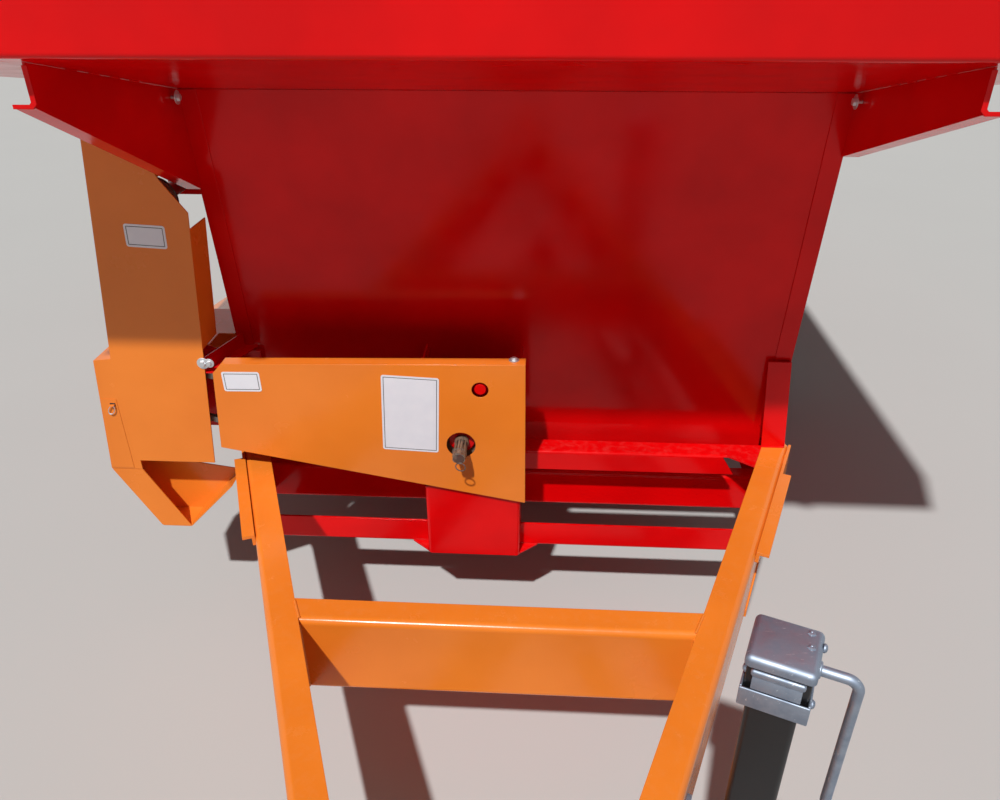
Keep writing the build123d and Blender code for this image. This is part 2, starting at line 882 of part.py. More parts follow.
# Corner posts from the tongue up to the front wall's edges: inner and outer X at the foot and the head
post_front = 50
post_gauge = 5
post_head_z = 822
post_foot_x = (box_half - 43, box_half + 23)
post_head_x = (box_half - 65, box_half - 2)
wall_clear = Plane(
    origin=(0, wall_y - 2 * wall_step - seat_gap, wall_foot_z),
    z_dir=(0, -cos(wall_lean), -sin(wall_lean)),
)
with BuildPart() as front_posts:
    for inset, mode in ((0, Mode.ADD), (post_gauge, Mode.SUBTRACT)):
        with BuildSketch(upright(wall_y + 10)):
            Polygon(
                (post_foot_x[0] - inset, rail_top_z),
                (post_foot_x[1] - inset, rail_top_z),
                (post_head_x[1] - inset, post_head_z),
                (post_head_x[0] - inset, post_head_z),
                align=None,
            )
        extrude(amount=post_front + 10 - inset, mode=mode)
    split(bisect_by=wall_clear)
    mirror(about=Plane.YZ)
save(front_posts, "front_posts")


def stake_row(side):
    """Hat stakes up one side, each with its gusset under the ledge."""
    with BuildPart() as stakes:
        for y in stakes_y:
            with BuildSketch(Plane.XY.offset(wall_foot_z)):
                with BuildLine():
                    Polyline(
                        (side * (box_half + 0.1), y - stake_width / 2),
                        (side * (box_half + stake_depth), y - stake_width / 2 + 8),
                        (side * (box_half + stake_depth), y + stake_width / 2 - 8),
                        (side * (box_half + 0.1), y + stake_width / 2),
                        (side * (box_half + 0.1), y + stake_width / 2 - 4),
                        (side * (box_half + stake_depth - 4), y + stake_width / 2 - 12),
                        (side * (box_half + stake_depth - 4), y - stake_width / 2 + 12),
                        (side * (box_half + 0.1), y - stake_width / 2 + 4),
                        close=True,
                    )
                make_face()
            extrude(amount=wall_top_z - 4 - wall_foot_z)
            root_x = box_half + stake_depth
            tip_x = flare_half - 40
            with BuildSketch(upright(y + 2)):
                Polygon(
                    (side * root_x, wall_top_z - stake_gusset),
                    (side * root_x, ledge_underside_side(root_x)),
                    (side * tip_x, ledge_underside_side(tip_x)),
                    (side * tip_x, ledge_underside_side(tip_x) - 30),
                    align=None,
                )
            extrude(amount=4)
    return stakes


stakes = stake_row(1)
with stakes:
    mirror(about=Plane.YZ)
save(stakes, "side_stakes")

# Apron floor with its chains, slats and shafts
sprocket_room = 46
floor_top_z = apron_shaft_z + apron_pitch_radius - chain_half - seat_gap
apron_front_y = wall_y + apron_front_offset
apron_rear_y = wall_y + apron_rear_offset
with BuildPart() as apron_floor:
    with BuildSketch(Plane.XY.offset(floor_top_z - sheet)):
        with Locations((0, (apron_front_y + apron_rear_y) / 2)):
            Rectangle(2 * (box_half - sheet), apron_rear_y - apron_front_y - 2 * sprocket_room)
    extrude(amount=sheet)
    for y in stakes_y[:-1]:
        with BuildSketch(across(0)):
            with Locations((y + 20, floor_top_z - sheet - 20)):
                Rectangle(60, 40)
                with Locations((0, -4)):
                    Rectangle(50, 40, mode=Mode.SUBTRACT)
        extrude(amount=box_half - sheet, both=True)
save(apron_floor, "apron_floor")

slat_count = 8
with BuildPart() as apron_conveyor:
    for x in (-apron_chain_x, apron_chain_x):
        add(
            chain_loop(
                across(x),
                (apron_front_y, apron_shaft_z),
                apron_pitch_radius,
                (apron_rear_y, apron_shaft_z),
                apron_pitch_radius,
                310,
            )
        )
    for i in range(slat_count):
        y = apron_front_y + (apron_rear_y - apron_front_y) * (i + 0.5) / slat_count
        for level, up in ((apron_shaft_z + apron_pitch_radius, 1), (apron_shaft_z - apron_pitch_radius, -1)):
            foot = level + up * chain_half
            with BuildSketch(across(0)):
                Polygon(
                    (y - slat_width / 2, foot),
                    (y + slat_width / 2, foot),
                    (y + slat_width / 2, foot + up * 5),
                    (y - slat_width / 2 + 5, foot + up * 5),
                    (y - slat_width / 2 + 5, foot + up * slat_height),
                    (y - slat_width / 2, foot + up * slat_height),
                    align=None,
                )
            extrude(amount=box_half - 25, both=True)
save(apron_conveyor, "apron_conveyor")

with BuildPart() as apron_shafts:
    for y in (apron_front_y, apron_rear_y):
        with BuildSketch(across(0)):
            with Locations((y, apron_shaft_z)):
                Circle(shaft_radius)
        extrude(amount=box_half + 40, both=True)
        for x in (-apron_chain_x, apron_chain_x):
            extrude(
                sprocket_face(across(x), (y, apron_shaft_z), 8, apron_pitch_radius),
                amount=sprocket_thickness / 2,
                both=True,
            )
save(apron_shafts, "apron_shafts")

# Cross conveyor behind the front wall, running out to the left
trough_front_y = wall_y + trough_front_offset
trough_rear_y = wall_y + trough_rear_offset
deck_top_z = cross_shaft_z + cross_pitch_radius - chain_half - seat_gap
trough_end_x = -(box_half + 340)
trough_foot_z = 560
hood_top_z = opening_top_z + 20
hood_bend_x = -box_half - 65
hood_slope = 0.65


def hood_z_at(x):
    """Height of the hood's sloping top at a place across."""
    return hood_top_z - hood_slope * (hood_bend_x - x)


with BuildPart() as cross_trough:
    for y in (trough_front_y, trough_rear_y - sheet):
        with BuildSketch(upright(y + sheet)):
            Polygon(
                (trough_end_x, trough_foot_z + 60),
                (trough_end_x + 105, trough_foot_z),
                (box_half - sheet, trough_foot_z),
                (box_half - sheet, 770),
                (-box_half - sheet, 770),
                (-box_half - sheet, opening_top_z),
                (hood_bend_x, opening_top_z),
                (trough_end_x, hood_z_at(trough_end_x) - sheet - 5),
                align=None,
            )
            with Locations((cross_drive_x, cross_shaft_z), (cross_idler_x, cross_shaft_z)):
                Circle(shaft_radius + shaft_fit, mode=Mode.SUBTRACT)
        extrude(amount=sheet)
    with BuildSketch(Plane.XY.offset(deck_top_z - sheet)):
        with Locations(((cross_drive_x + cross_idler_x) / 2, (trough_front_y + trough_rear_y) / 2)):
            Rectangle(cross_idler_x - cross_drive_x - 2 * sprocket_room, trough_rear_y - trough_front_y)
    extrude(amount=sheet)
save(cross_trough, "cross_trough")

cross_chains_y = (trough_front_y + cross_chain_inset, trough_rear_y - cross_chain_inset)
cross_slat_count = 7
with BuildPart() as cross_conveyor:
    for y in cross_chains_y:
        add(
            chain_loop(
                upright(y),
                (cross_drive_x, cross_shaft_z),
                cross_pitch_radius,
                (cross_idler_x, cross_shaft_z),
                cross_pitch_radius,
                230,
            )
        )
    for i in range(cross_slat_count):
        x = cross_drive_x + (cross_idler_x - cross_drive_x) * (i + 0.5) / cross_slat_count
        for level, up in ((cross_shaft_z + cross_pitch_radius, 1), (cross_shaft_z - cross_pitch_radius, -1)):
            foot = level + up * chain_half
            height = slat_height - 8
            with BuildSketch(upright(trough_rear_y - 15)):
                Polygon(
                    (x - 18, foot),
                    (x + 18, foot),
                    (x + 18, foot + up * 5),
                    (x - 13, foot + up * 5),
                    (x - 13, foot + up * height),
                    (x - 18, foot + up * height),
                    align=None,
                )
            extrude(amount=trough_rear_y - trough_front_y - 30)
save(cross_conveyor, "cross_conveyor")

# Chain planes of the front drive, ahead of the wall's foot, and their sprockets
input_chain = 196
cross_chain = 162
beater_chain = 124
input_chain_plane = upright(wall_y - input_chain)
cross_chain_plane = upright(wall_y - cross_chain)
beater_chain_plane = upright(wall_y - beater_chain)
input_centre = (input_x, input_z)
jackshaft_centre = (jackshaft_x, jackshaft_z)
cross_drive_centre = (cross_drive_x, cross_shaft_z)
beater_drive_centre = (beater_drive_x, upper_beater_z)
roller_pitch = 25.4


def pitch_radius(teeth):
    return roller_pitch / (2 * sin(pi / teeth))


input_teeth = 28
jackshaft_teeth = 14
cross_teeth = 14
beater_teeth = 12
with BuildPart() as cross_shafts:
    for x, front in ((cross_drive_x, wall_y - cross_chain - 22), (cross_idler_x, trough_front_y - 20)):
        with BuildSketch(upright(front)):
            with Locations((x, cross_shaft_z)):
                Circle(shaft_radius)
        extrude(amount=-(trough_rear_y + 20 - front))
        for y in cross_chains_y:
            extrude(
                sprocket_face(upright(y), (x, cross_shaft_z), 8, cross_pitch_radius),
                amount=sprocket_thickness / 2,
                both=True,
            )
    extrude(
        sprocket_face(cross_chain_plane, cross_drive_centre, cross_teeth, pitch_radius(cross_teeth)),
        amount=sprocket_thickness / 2,
        both=True,
    )
save(cross_shafts, "cross_shafts")

with BuildPart() as drive_chains:
    add(
        chain_loop(
            input_chain_plane,
            input_centre,
            pitch_radius(input_teeth),
            jackshaft_centre,
            pitch_radius(jackshaft_teeth),
            roller_pitch * 3,
        )
    )
    add(
        chain_loop(
            cross_chain_plane,
            jackshaft_centre,
            pitch_radius(jackshaft_teeth),
            cross_drive_centre,
            pitch_radius(cross_teeth),
            roller_pitch,
        )
    )
    add(
        chain_loop(
            beater_chain_plane,
            jackshaft_centre,
            pitch_radius(jackshaft_teeth),
            beater_drive_centre,
            pitch_radius(beater_teeth),
            roller_pitch * 3,
        )
    )
save(drive_chains, "drive_chains")

# Input shaft with its splined end through the shield
spline_radius = 17.5
spline_length = 75
shaft_tail = 45
shield_clear = 10
with BuildPart() as input_shaft:
    with BuildSketch(upright(wall_y - carrier_front + shaft_tail)):
        with Locations(input_centre):
            Circle(shaft_radius)
    extrude(amount=shield_offset - shield_clear - carrier_front + shaft_tail)
    with BuildSketch(upright(wall_y - shield_offset + shield_clear)):
        with Locations(input_centre):
            Circle(spline_radius)
            with PolarLocations(spline_radius, 6):
                Rectangle(4, 8, mode=Mode.SUBTRACT)
    extrude(amount=spline_length)
    extrude(
        sprocket_face(input_chain_plane, input_centre, input_teeth, pitch_radius(input_teeth)),
        amount=sprocket_thickness / 2,
        both=True,
    )
save(input_shaft, "input_shaft")

bracket_plate = 10
beater_bracket_offset = 70
bracket_y = wall_y - post_front - seat_gap - bracket_plate
with BuildPart() as jackshaft:
    with BuildSketch(upright(bracket_y + bracket_plate + 20)):
        with Locations(jackshaft_centre):
            Circle(shaft_radius)
    extrude(amount=bracket_plate + 20 + input_chain - (wall_y - bracket_y) + 10)
    for plane in (input_chain_plane, cross_chain_plane, beater_chain_plane):
        extrude(
            sprocket_face(plane, jackshaft_centre, jackshaft_teeth, pitch_radius(jackshaft_teeth)),
            amount=sprocket_thickness / 2,
            both=True,
        )
save(jackshaft, "jackshaft")

gearbox_half = 80
gearbox_x = -(box_half + 165)
with BuildPart() as beater_gearbox:
    with BuildSketch(across(-box_half)):
        with Locations((wall_y + upper_beater_offset, upper_beater_z)):
            RectangleRounded(2 * gearbox_half, 2 * gearbox_half, 25)
    extrude(amount=gearbox_x + box_half)
    with BuildSketch(upright(wall_y + upper_beater_offset - gearbox_half)):
        with Locations(beater_drive_centre):
            Circle(42)
    extrude(amount=30)
    with BuildSketch(upright(wall_y + upper_beater_offset - gearbox_half - 30)):
        with Locations(beater_drive_centre):
            Circle(shaft_radius + shaft_fit)
    extrude(amount=-50, mode=Mode.SUBTRACT)
    with BuildSketch(across(-box_half)):
        with Locations((wall_y + upper_beater_offset, upper_beater_z)):
            Circle(shaft_radius + shaft_fit)
    extrude(amount=-40, mode=Mode.SUBTRACT)
save(beater_gearbox, "beater_gearbox")

with BuildPart() as beater_drive_shaft:
    with BuildSketch(upright(wall_y - beater_chain - 22)):
        with Locations(beater_drive_centre):
            Circle(shaft_radius)
    extrude(amount=-(beater_chain + 22 + upper_beater_offset - gearbox_half + 15))
    extrude(
        sprocket_face(beater_chain_plane, beater_drive_centre, beater_teeth, pitch_radius(beater_teeth)),
        amount=sprocket_thickness / 2,
        both=True,
    )
save(beater_drive_shaft, "beater_drive_shaft")

# Bracket plates that carry the jackshaft, the cross drive shaft and the beater drive shaft
with BuildPart() as drive_brackets:
    with BuildSketch(upright(bracket_y + bracket_plate)):
        Polygon(
            (-box_half + 35, rail_top_z + 30),
            (-box_half + 35, jackshaft_z + 20),
            (jackshaft_x + 40, jackshaft_z + 75),
            (jackshaft_x - 45, jackshaft_z + 55),
            (cross_drive_x - 55, cross_shaft_z),
            (cross_drive_x - 20, rail_top_z + 30),
            align=None,
        )
        with Locations(jackshaft_centre, cross_drive_centre):
            Circle(shaft_radius + shaft_fit, mode=Mode.SUBTRACT)
    extrude(amount=bracket_plate)
    with BuildSketch(upright(wall_y + beater_bracket_offset)):
        Polygon(
            (-box_half - seat_gap, upper_beater_z - 35),
            (-box_half - seat_gap, upper_beater_z + 60),
            (beater_drive_x - 45, upper_beater_z + 40),
            (beater_drive_x - 45, upper_beater_z - 35),
            align=None,
        )
        with Locations(beater_drive_centre):
            Circle(shaft_radius + shaft_fit, mode=Mode.SUBTRACT)
    extrude(amount=bracket_plate)
save(drive_brackets, "drive_brackets")


def beater(behind, height, left_end, phase):
    """Cross shaft with staggered stars of fingers."""
    centre = (wall_y + behind, height)
    with BuildPart() as drum:
        with BuildSketch(across(0)):
            with Locations(centre):
                Circle(38)
        extrude(amount=box_half - 15, both=True)
        with BuildSketch(across(left_end)):
            with Locations(centre):
                Circle(shaft_radius)
        extrude(amount=box_half + 40 - left_end)
        for i in range(8):
            x = (i - 3.5) * 175
            with BuildSketch(across(x)):
                with Locations(centre):
                    with PolarLocations(0, 4, start_angle=phase + 45 * (i % 2)):
                        with Locations((beater_reach / 2 + 15, 0)):
                            Rectangle(beater_reach - 30, 30)
            extrude(amount=6, both=True)
    return drum


beater_upper = beater(upper_beater_offset, upper_beater_z, -box_half - 38, 0)
save(beater_upper, "beater_upper")
beater_lower = beater(lower_beater_offset, lower_beater_z, -box_half - 40, 45)
save(beater_lower, "beater_lower")

# Bearings outside the side sheets: offset from the wall, height, sides
bearing_table = (
    (upper_beater_offset, upper_beater_z, (1,)),
    (lower_beater_offset, lower_beater_z, (-1, 1)),
    (apron_front_offset, apron_shaft_z, (-1, 1)),
    (apron_rear_offset, apron_shaft_z, (-1, 1)),
)
with BuildPart() as flange_bearings:
    for behind, height, sides in bearing_table:
        for side in sides:
            with BuildSketch(across(side * (box_half + 0.1))):
                with Locations((wall_y + behind, height)):
                    RectangleRounded(90, 90, 30)
                    Circle(shaft_radius + shaft_fit, mode=Mode.SUBTRACT)
            extrude(amount=side * 12)
            with BuildSketch(across(side * (box_half + 12))):
                with Locations((wall_y + behind, height)):
                    Circle(34)
                    Circle(shaft_radius + shaft_fit, mode=Mode.SUBTRACT)
            extrude(amount=side * 18)
save(flange_bearings, "flange_bearings")

# Guards
shield_y = wall_y - shield_offset
shield_flange = 38
# Front shield: X, height
shield_outline = (
    (-box_half + 25, 872),
    (-box_half, 845),
    (-box_half - 17, 617),
    (49, 461),
    (45, 889),
)
with BuildPart() as chain_shield:
    with BuildSketch(upright(shield_y + sheet)):
        Polygon(*shield_outline, align=None)
        with Locations(input_centre):
            Circle(39, mode=Mode.SUBTRACT)
        with Locations((stop_x, stop_z)):
            Circle(22, mode=Mode.SUBTRACT)
    extrude(amount=sheet)
    left, right = Vector(*shield_outline[0]), Vector(*shield_outline[-1])
    drop = Vector(0, sheet)
    with BuildSketch(upright(shield_y + shield_flange)):
        Polygon(tuple(left), tuple(right), tuple(right - drop), tuple(left - drop), align=None)
    extrude(amount=shield_flange)
save(chain_shield, "chain_shield")

guard_front_y = wall_y - 220
guard_depth = 100
guard_ledge_z = 866
guard_ledge_back = 130
guard_skirt_x = -box_half - 263
guard_foot_z = 527
# Tall guard: X, height
guard_outline = (
    (-box_half - 85, 1480),
    (-box_half - 200, 1480),
    (-box_half - 272, 872),
    (-box_half - 320, guard_ledge_z),
    (-box_half - 352, guard_foot_z),
    (guard_skirt_x, guard_foot_z),
    (guard_skirt_x, 556),
    (-box_half - 51, 556),
    (-box_half + 10, 1262),
    (-box_half - 45, 1340),
    (-box_half - 73, 1400),
)
guard_notch_z = 905
guard_flap_z = 640
guard_front_gap = 125
with BuildPart() as drive_guard:
    with BuildSketch(upright(guard_front_y + sheet)):
        Polygon(*guard_outline, align=None)
    extrude(amount=sheet)
    with BuildSketch(upright(guard_front_y + guard_depth)):
        Polygon(*guard_outline, align=None)
        offset(amount=-sheet, kind=Kind.INTERSECTION, mode=Mode.SUBTRACT)
        with Locations((-box_half - 135, guard_foot_z)):
            Rectangle(414, 76, mode=Mode.SUBTRACT)
        with Locations((-box_half - 10, guard_notch_z - 200)):
            Rectangle(150, 400, mode=Mode.SUBTRACT)
        with Locations((-box_half, wing_roots_z[0][1])):
            Rectangle(100, 140, mode=Mode.SUBTRACT)
    extrude(amount=guard_depth - sheet)
    split(bisect_by=wall_clear)
    with BuildSketch(Plane.XY.offset(guard_ledge_z)):
        Polygon(
            (-box_half - 320, guard_front_y + guard_depth - 10),
            (-box_half - 235, guard_front_y + guard_depth - 10),
            (-box_half - 235, wall_y - beater_chain + 12),
            (-box_half - 50, wall_y - beater_chain + 12),
            (-box_half - 50, wall_y - 40),
            (-box_half - 5, wall_y - 40),
            (-box_half - 5, wall_y + guard_ledge_back),
            (-box_half - 320, wall_y + guard_ledge_back),
            align=None,
        )
    extrude(amount=sheet)
    with BuildSketch(Plane.YZ.offset(-box_half - 320)):
        with Locations((wall_y + (60 - guard_front_gap) / 2, (guard_ledge_z + guard_flap_z) / 2)):
            Rectangle(60 + guard_front_gap, guard_ledge_z - guard_flap_z)
    extrude(amount=sheet)
save(drive_guard, "drive_guard")

# Open vee under the tall guard: X, height
vee_top_z = guard_foot_z - seat_gap - sheet / 4
vee_foot_z = 331
vee_outline = (
    (-box_half - 349, vee_top_z),
    (-box_half - 245, vee_foot_z),
    (-box_half - 160, vee_foot_z),
    (-box_half - 17, 477),
)
vee_depth = 90
with BuildPart() as guard_vee:
    extrude(folded(upright(guard_front_y + vee_depth), vee_outline, sheet, 8), amount=vee_depth)
    with BuildSketch(upright(guard_front_y + sheet)):
        Polygon(vee_outline[0], (guard_skirt_x, vee_top_z), vee_outline[2], vee_outline[1], align=None)
    extrude(amount=sheet)
    with BuildSketch(upright(guard_front_y + vee_depth)):
        Polygon(*vee_outline, align=None)
    extrude(amount=sheet)
save(guard_vee, "guard_vee")

# Angle arm from the wall to the back of the tall guard's face
arm_leg = 40
arm_gauge = 4
arm_foot_z = 835
arm_root_x = -box_half + 17
arm_heading = radians(16.5)
with BuildPart() as guard_arm:
    arm_back = wall_y_at(arm_foot_z + arm_leg) - 2 * wall_step - seat_gap
    arm_front = guard_front_y + sheet + seat_gap
    arm_dir = Vector(-sin(arm_heading), -cos(arm_heading), 0)
    arm_side = Vector(cos(arm_heading), -sin(arm_heading), 0)
    root = Vector(arm_root_x, arm_back, arm_foot_z)
    with BuildSketch(Plane(origin=root - arm_dir * arm_leg, x_dir=arm_side, z_dir=arm_dir)):
        Polygon(
            (0, 0),
            (arm_leg, 0),
            (arm_leg, arm_gauge),
            (arm_gauge, arm_gauge),
            (arm_gauge, arm_leg),
            (0, arm_leg),
            align=None,
        )
    extrude(amount=2 * arm_leg + (arm_back - arm_front) / cos(arm_heading))
    split(bisect_by=Plane(origin=(0, arm_back, 0), z_dir=(0, -1, 0)))
    split(bisect_by=Plane(origin=(0, arm_front, 0), z_dir=(0, 1, 0)))
save(guard_arm, "guard_arm")

hood_side_z = 770
hood_tip_x = trough_end_x - 45
hood_lip = 90
# Discharge hood: X, height
hood_outline = (
    (-box_half - seat_gap, hood_top_z),
    (hood_bend_x, hood_top_z),
    (hood_tip_x, hood_z_at(hood_tip_x)),
    (hood_tip_x, hood_z_at(hood_tip_x) - hood_lip),
)
with BuildPart() as discharge_hood:
    hood_front_y = trough_front_y - sheet
    hood_rear_y = trough_rear_y + sheet
    extrude(folded(upright(hood_rear_y), hood_outline, sheet, 8), amount=hood_rear_y - hood_front_y)
    for y in (hood_front_y + sheet, hood_rear_y):
        with BuildSketch(upright(y)):
            Polygon(
                (-box_half - seat_gap, hood_side_z),
                *hood_outline,
                (cross_drive_x - 65, cross_shaft_z),
                align=None,
            )
        extrude(amount=sheet)
save(discharge_hood, "discharge_hood")

with BuildPart() as beater_guard:
    guard_span = loop_area(
        across(box_half + seat_gap),
        (wall_y + upper_beater_offset, upper_beater_z),
        75,
        (wall_y + lower_beater_offset, lower_beater_z),
        75,
    )
    extrude(guard_span, amount=60)
    inner = faces().sort_by(Axis.X)[0]
    offset(amount=-sheet, openings=[inner])
save(beater_guard, "beater_guard")

# Tongue jack, on the right rail's outer web
jack_pivot = rail_point(jack_offset)
jack_plane = Plane(origin=jack_pivot, x_dir=-rail_dir, z_dir=-rail_inward)
jack_axis_out = jack_stand_off + jack_tube / 2
with BuildPart() as jack_mount:
    with BuildSketch(jack_plane):
        RectangleRounded(110, 110, 10)
    extrude(amount=8)
    with BuildSketch(jack_plane.offset(8)):
        Circle(30)
        Circle(24, mode=Mode.SUBTRACT)
    extrude(amount=jack_stand_off - 8 - 2)
save(jack_mount, "jack_mount")

tube_foot = -220
tube_head = 455


def level_plane(height):
    """Horizontal plane through the jack's own axis at a height above its pivot."""
    centre = jack_plane.from_local_coords((0, height, jack_axis_out))
    return Plane(origin=centre, x_dir=-rail_dir, z_dir=(0, 0, 1))


with BuildPart() as jack_body:
    with BuildSketch(level_plane(tube_foot)):
        RectangleRounded(jack_tube, jack_tube, 8)
        RectangleRounded(jack_tube - 2 * jack_wall, jack_tube - 2 * jack_wall, 5, mode=Mode.SUBTRACT)
    extrude(amount=tube_head - tube_foot)
    with BuildSketch(jack_plane.offset(14)):
        Circle(38)
        Circle(30 + shaft_fit, mode=Mode.SUBTRACT)
    extrude(amount=jack_stand_off - 14)
save(jack_body, "jack_body")

jack_cap_height = 58
with BuildPart() as jack_head:
    with BuildSketch(level_plane(tube_head)):
        RectangleRounded(jack_cap, jack_cap, 10)
    extrude(amount=jack_cap_height)
    fillet(edges().group_by(Axis.Z)[-1], 9)
    with BuildSketch(level_plane(tube_head - 40)):
        RectangleRounded(jack_cap, jack_cap, 10)
        RectangleRounded(jack_cap_bore, jack_cap_bore, 8, mode=Mode.SUBTRACT)
    extrude(amount=40)
save(jack_head, "jack_head")

crank_start = jack_cap / 2
crank_drop = 270
with BuildPart() as jack_crank:
    with BuildLine() as crank_line:
        crank_points = [
            (0, tube_head + 28, jack_axis_out + crank_start + 0.3),
            (0, tube_head + 28, jack_axis_out + crank_start + 55),
            (0, tube_head + 28 - crank_drop, jack_axis_out + crank_start + 55),
            (0, tube_head + 28 - crank_drop, jack_axis_out + crank_start + 150),
        ]
        FilletPolyline(*[jack_plane.from_local_coords(p) for p in crank_points], radius=18)
    with BuildSketch(Plane(origin=crank_line.line @ 0, z_dir=crank_line.line % 0)):
        Circle(8)
    sweep()
save(jack_crank, "jack_crank")

leg_half = jack_tube / 2 - jack_wall - shaft_fit
foot_z = -(hitch_z)
with BuildPart() as jack_leg:
    with BuildSketch(level_plane(foot_z + 8)):
        RectangleRounded(2 * leg_half, 2 * leg_half, 5)
        RectangleRounded(2 * leg_half - 10, 2 * leg_half - 10, 2, mode=Mode.SUBTRACT)
    extrude(amount=hitch_z - 8 - 60)
    with BuildSketch(level_plane(foot_z)):
        RectangleRounded(150, 150, 20)
    extrude(amount=8)
save(jack_leg, "jack_leg")
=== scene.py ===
import json
from math import atan2, cos, floor, hypot, pi, radians, sin, tan
import bmesh
import bpy
from mathutils import Matrix, Vector


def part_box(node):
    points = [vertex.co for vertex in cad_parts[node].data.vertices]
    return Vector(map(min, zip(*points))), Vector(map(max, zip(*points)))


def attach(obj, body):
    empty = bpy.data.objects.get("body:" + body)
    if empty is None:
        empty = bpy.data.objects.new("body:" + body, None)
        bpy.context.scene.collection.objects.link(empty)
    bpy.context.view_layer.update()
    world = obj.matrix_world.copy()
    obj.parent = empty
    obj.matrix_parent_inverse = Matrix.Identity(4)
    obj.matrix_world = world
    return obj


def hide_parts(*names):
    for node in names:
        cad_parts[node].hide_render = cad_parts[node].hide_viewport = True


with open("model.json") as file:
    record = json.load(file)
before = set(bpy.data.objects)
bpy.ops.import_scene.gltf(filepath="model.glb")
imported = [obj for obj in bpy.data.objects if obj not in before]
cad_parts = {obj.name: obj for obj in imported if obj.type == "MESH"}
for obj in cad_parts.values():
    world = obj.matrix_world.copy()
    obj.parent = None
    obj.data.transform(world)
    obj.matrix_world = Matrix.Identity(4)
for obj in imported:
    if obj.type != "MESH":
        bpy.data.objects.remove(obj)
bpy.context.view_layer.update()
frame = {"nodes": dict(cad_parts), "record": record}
print("frame loaded:", len(frame["nodes"]), "nodes")


# Node and colour tools

def linear(hexCode):
    parts = [int(hexCode[i:i + 2], 16) / 255 for i in (1, 3, 5)]
    return [p / 12.92 if p <= 0.04045 else ((p + 0.055) / 1.055) ** 2.4 for p in parts] + [1.0]


def addNode(tree, kind, settings, links):
    node = tree.nodes.new(kind)
    for key, value in settings.items():
        if isinstance(value, str) and value.startswith("#"):
            value = linear(value)
        if isinstance(key, int) or key in node.inputs:
            node.inputs[key].default_value = value
        else:
            setattr(node, key, value)
    for key, socket in links.items():
        tree.links.new(socket, node.inputs[key])
    return node.outputs


def newMaterial(name):
    material = bpy.data.materials.new(name)
    material.use_nodes = True
    tree = material.node_tree
    tree.nodes.clear()
    shader = tree.nodes.new("ShaderNodeBsdfPrincipled")
    addNode(tree, "ShaderNodeOutputMaterial", {}, {"Surface": shader.outputs["BSDF"]})
    place = addNode(tree, "ShaderNodeTexCoord", {}, {})["Object"]
    return material, tree, shader, place


def cells(sizeInMm):
    return 1000 / sizeInMm  # pattern scale for a feature of that size, with coordinates in metres


# Finishes

enamelColours = {
    "red": {"paint": "#E40408", "deep": "#D20307", "dust": "#D8948A"},
    "orange": {"paint": "#EE842A", "deep": "#E67D25", "dust": "#DDB48A"},
    "black": {"paint": "#17171A", "deep": "#101012", "dust": "#57534C"},
    "wheel": {"paint": "#DAD8D2", "deep": "#CECBC4", "dust": "#A89A82"},
}


def sprayedEnamel(name, colour, dustAmount, gloss, level):
    # Enamel sprayed on sheet: even colour, faint clouds, dust on what lies flat, fine orange peel, slow waves
    shades = enamelColours[colour]
    material, tree, shader, place = newMaterial(name)
    clouds = addNode(tree, "ShaderNodeTexNoise", {"Scale": cells(240), "Detail": 3.0}, {"Vector": place})
    cloud = addNode(tree, "ShaderNodeMapRange", {"From Min": 0.35, "From Max": 0.65},
                    {"Value": clouds["Fac"]})
    paint = addNode(tree, "ShaderNodeMix", {"data_type": "RGBA", 6: shades["deep"], 7: shades["paint"]},
                    {0: cloud["Result"]})
    soft = addNode(tree, "ShaderNodeBevel", {"samples": 4, "Radius": 0.0018}, {})
    geometry = addNode(tree, "ShaderNodeNewGeometry", {}, {})
    facing = addNode(tree, "ShaderNodeSeparateXYZ", {}, {"Vector": geometry["Normal"]})
    lying = addNode(tree, "ShaderNodeMapRange", {"From Min": 0.35, "From Max": 0.95}, {"Value": facing["Z"]})
    specks = addNode(tree, "ShaderNodeTexNoise", {"Scale": cells(24), "Detail": 8.0, "Roughness": 0.75},
                     {"Vector": place})
    settled = addNode(tree, "ShaderNodeMapRange", {"From Min": 0.48, "From Max": 0.78, "To Max": dustAmount},
                      {"Value": specks["Fac"]})
    dust = addNode(tree, "ShaderNodeMath", {"operation": "MULTIPLY"},
                   {0: lying["Result"], 1: settled["Result"]})
    coloured = addNode(tree, "ShaderNodeMix", {"data_type": "RGBA", 7: shades["dust"]},
                       {0: dust["Value"], 6: paint[2]})
    tree.links.new(coloured[2], shader.inputs["Base Color"])
    wipes = addNode(tree, "ShaderNodeTexNoise", {"Scale": cells(90), "Detail": 4.0}, {"Vector": place})
    smear = addNode(tree, "ShaderNodeMapRange",
                    {"From Min": 0.3, "From Max": 0.7, "To Min": gloss, "To Max": gloss + 0.12},
                    {"Value": wipes["Fac"]})
    dulled = addNode(tree, "ShaderNodeMath", {"operation": "MULTIPLY_ADD", 1: 0.8},
                     {0: dust["Value"], 2: smear["Result"]})
    tree.links.new(dulled["Value"], shader.inputs["Roughness"])
    shader.inputs["IOR"].default_value = 1.5
    shader.inputs["Specular IOR Level"].default_value = level
    peelGrain = addNode(tree, "ShaderNodeTexNoise", {"Scale": cells(5), "Detail": 2.0}, {"Vector": place})
    peel = addNode(tree, "ShaderNodeBump", {"Strength": 0.10, "Distance": 0.0006},
                   {"Height": peelGrain["Fac"], "Normal": soft["Normal"]})
    sheetWave = addNode(tree, "ShaderNodeTexNoise", {"Scale": cells(330), "Detail": 1.0}, {"Vector": place})
    wave = addNode(tree, "ShaderNodeBump", {"Strength": 0.13, "Distance": 0.004},
                   {"Height": sheetWave["Fac"], "Normal": peel["Normal"]})
    tree.links.new(wave["Normal"], shader.inputs["Normal"])
    return material


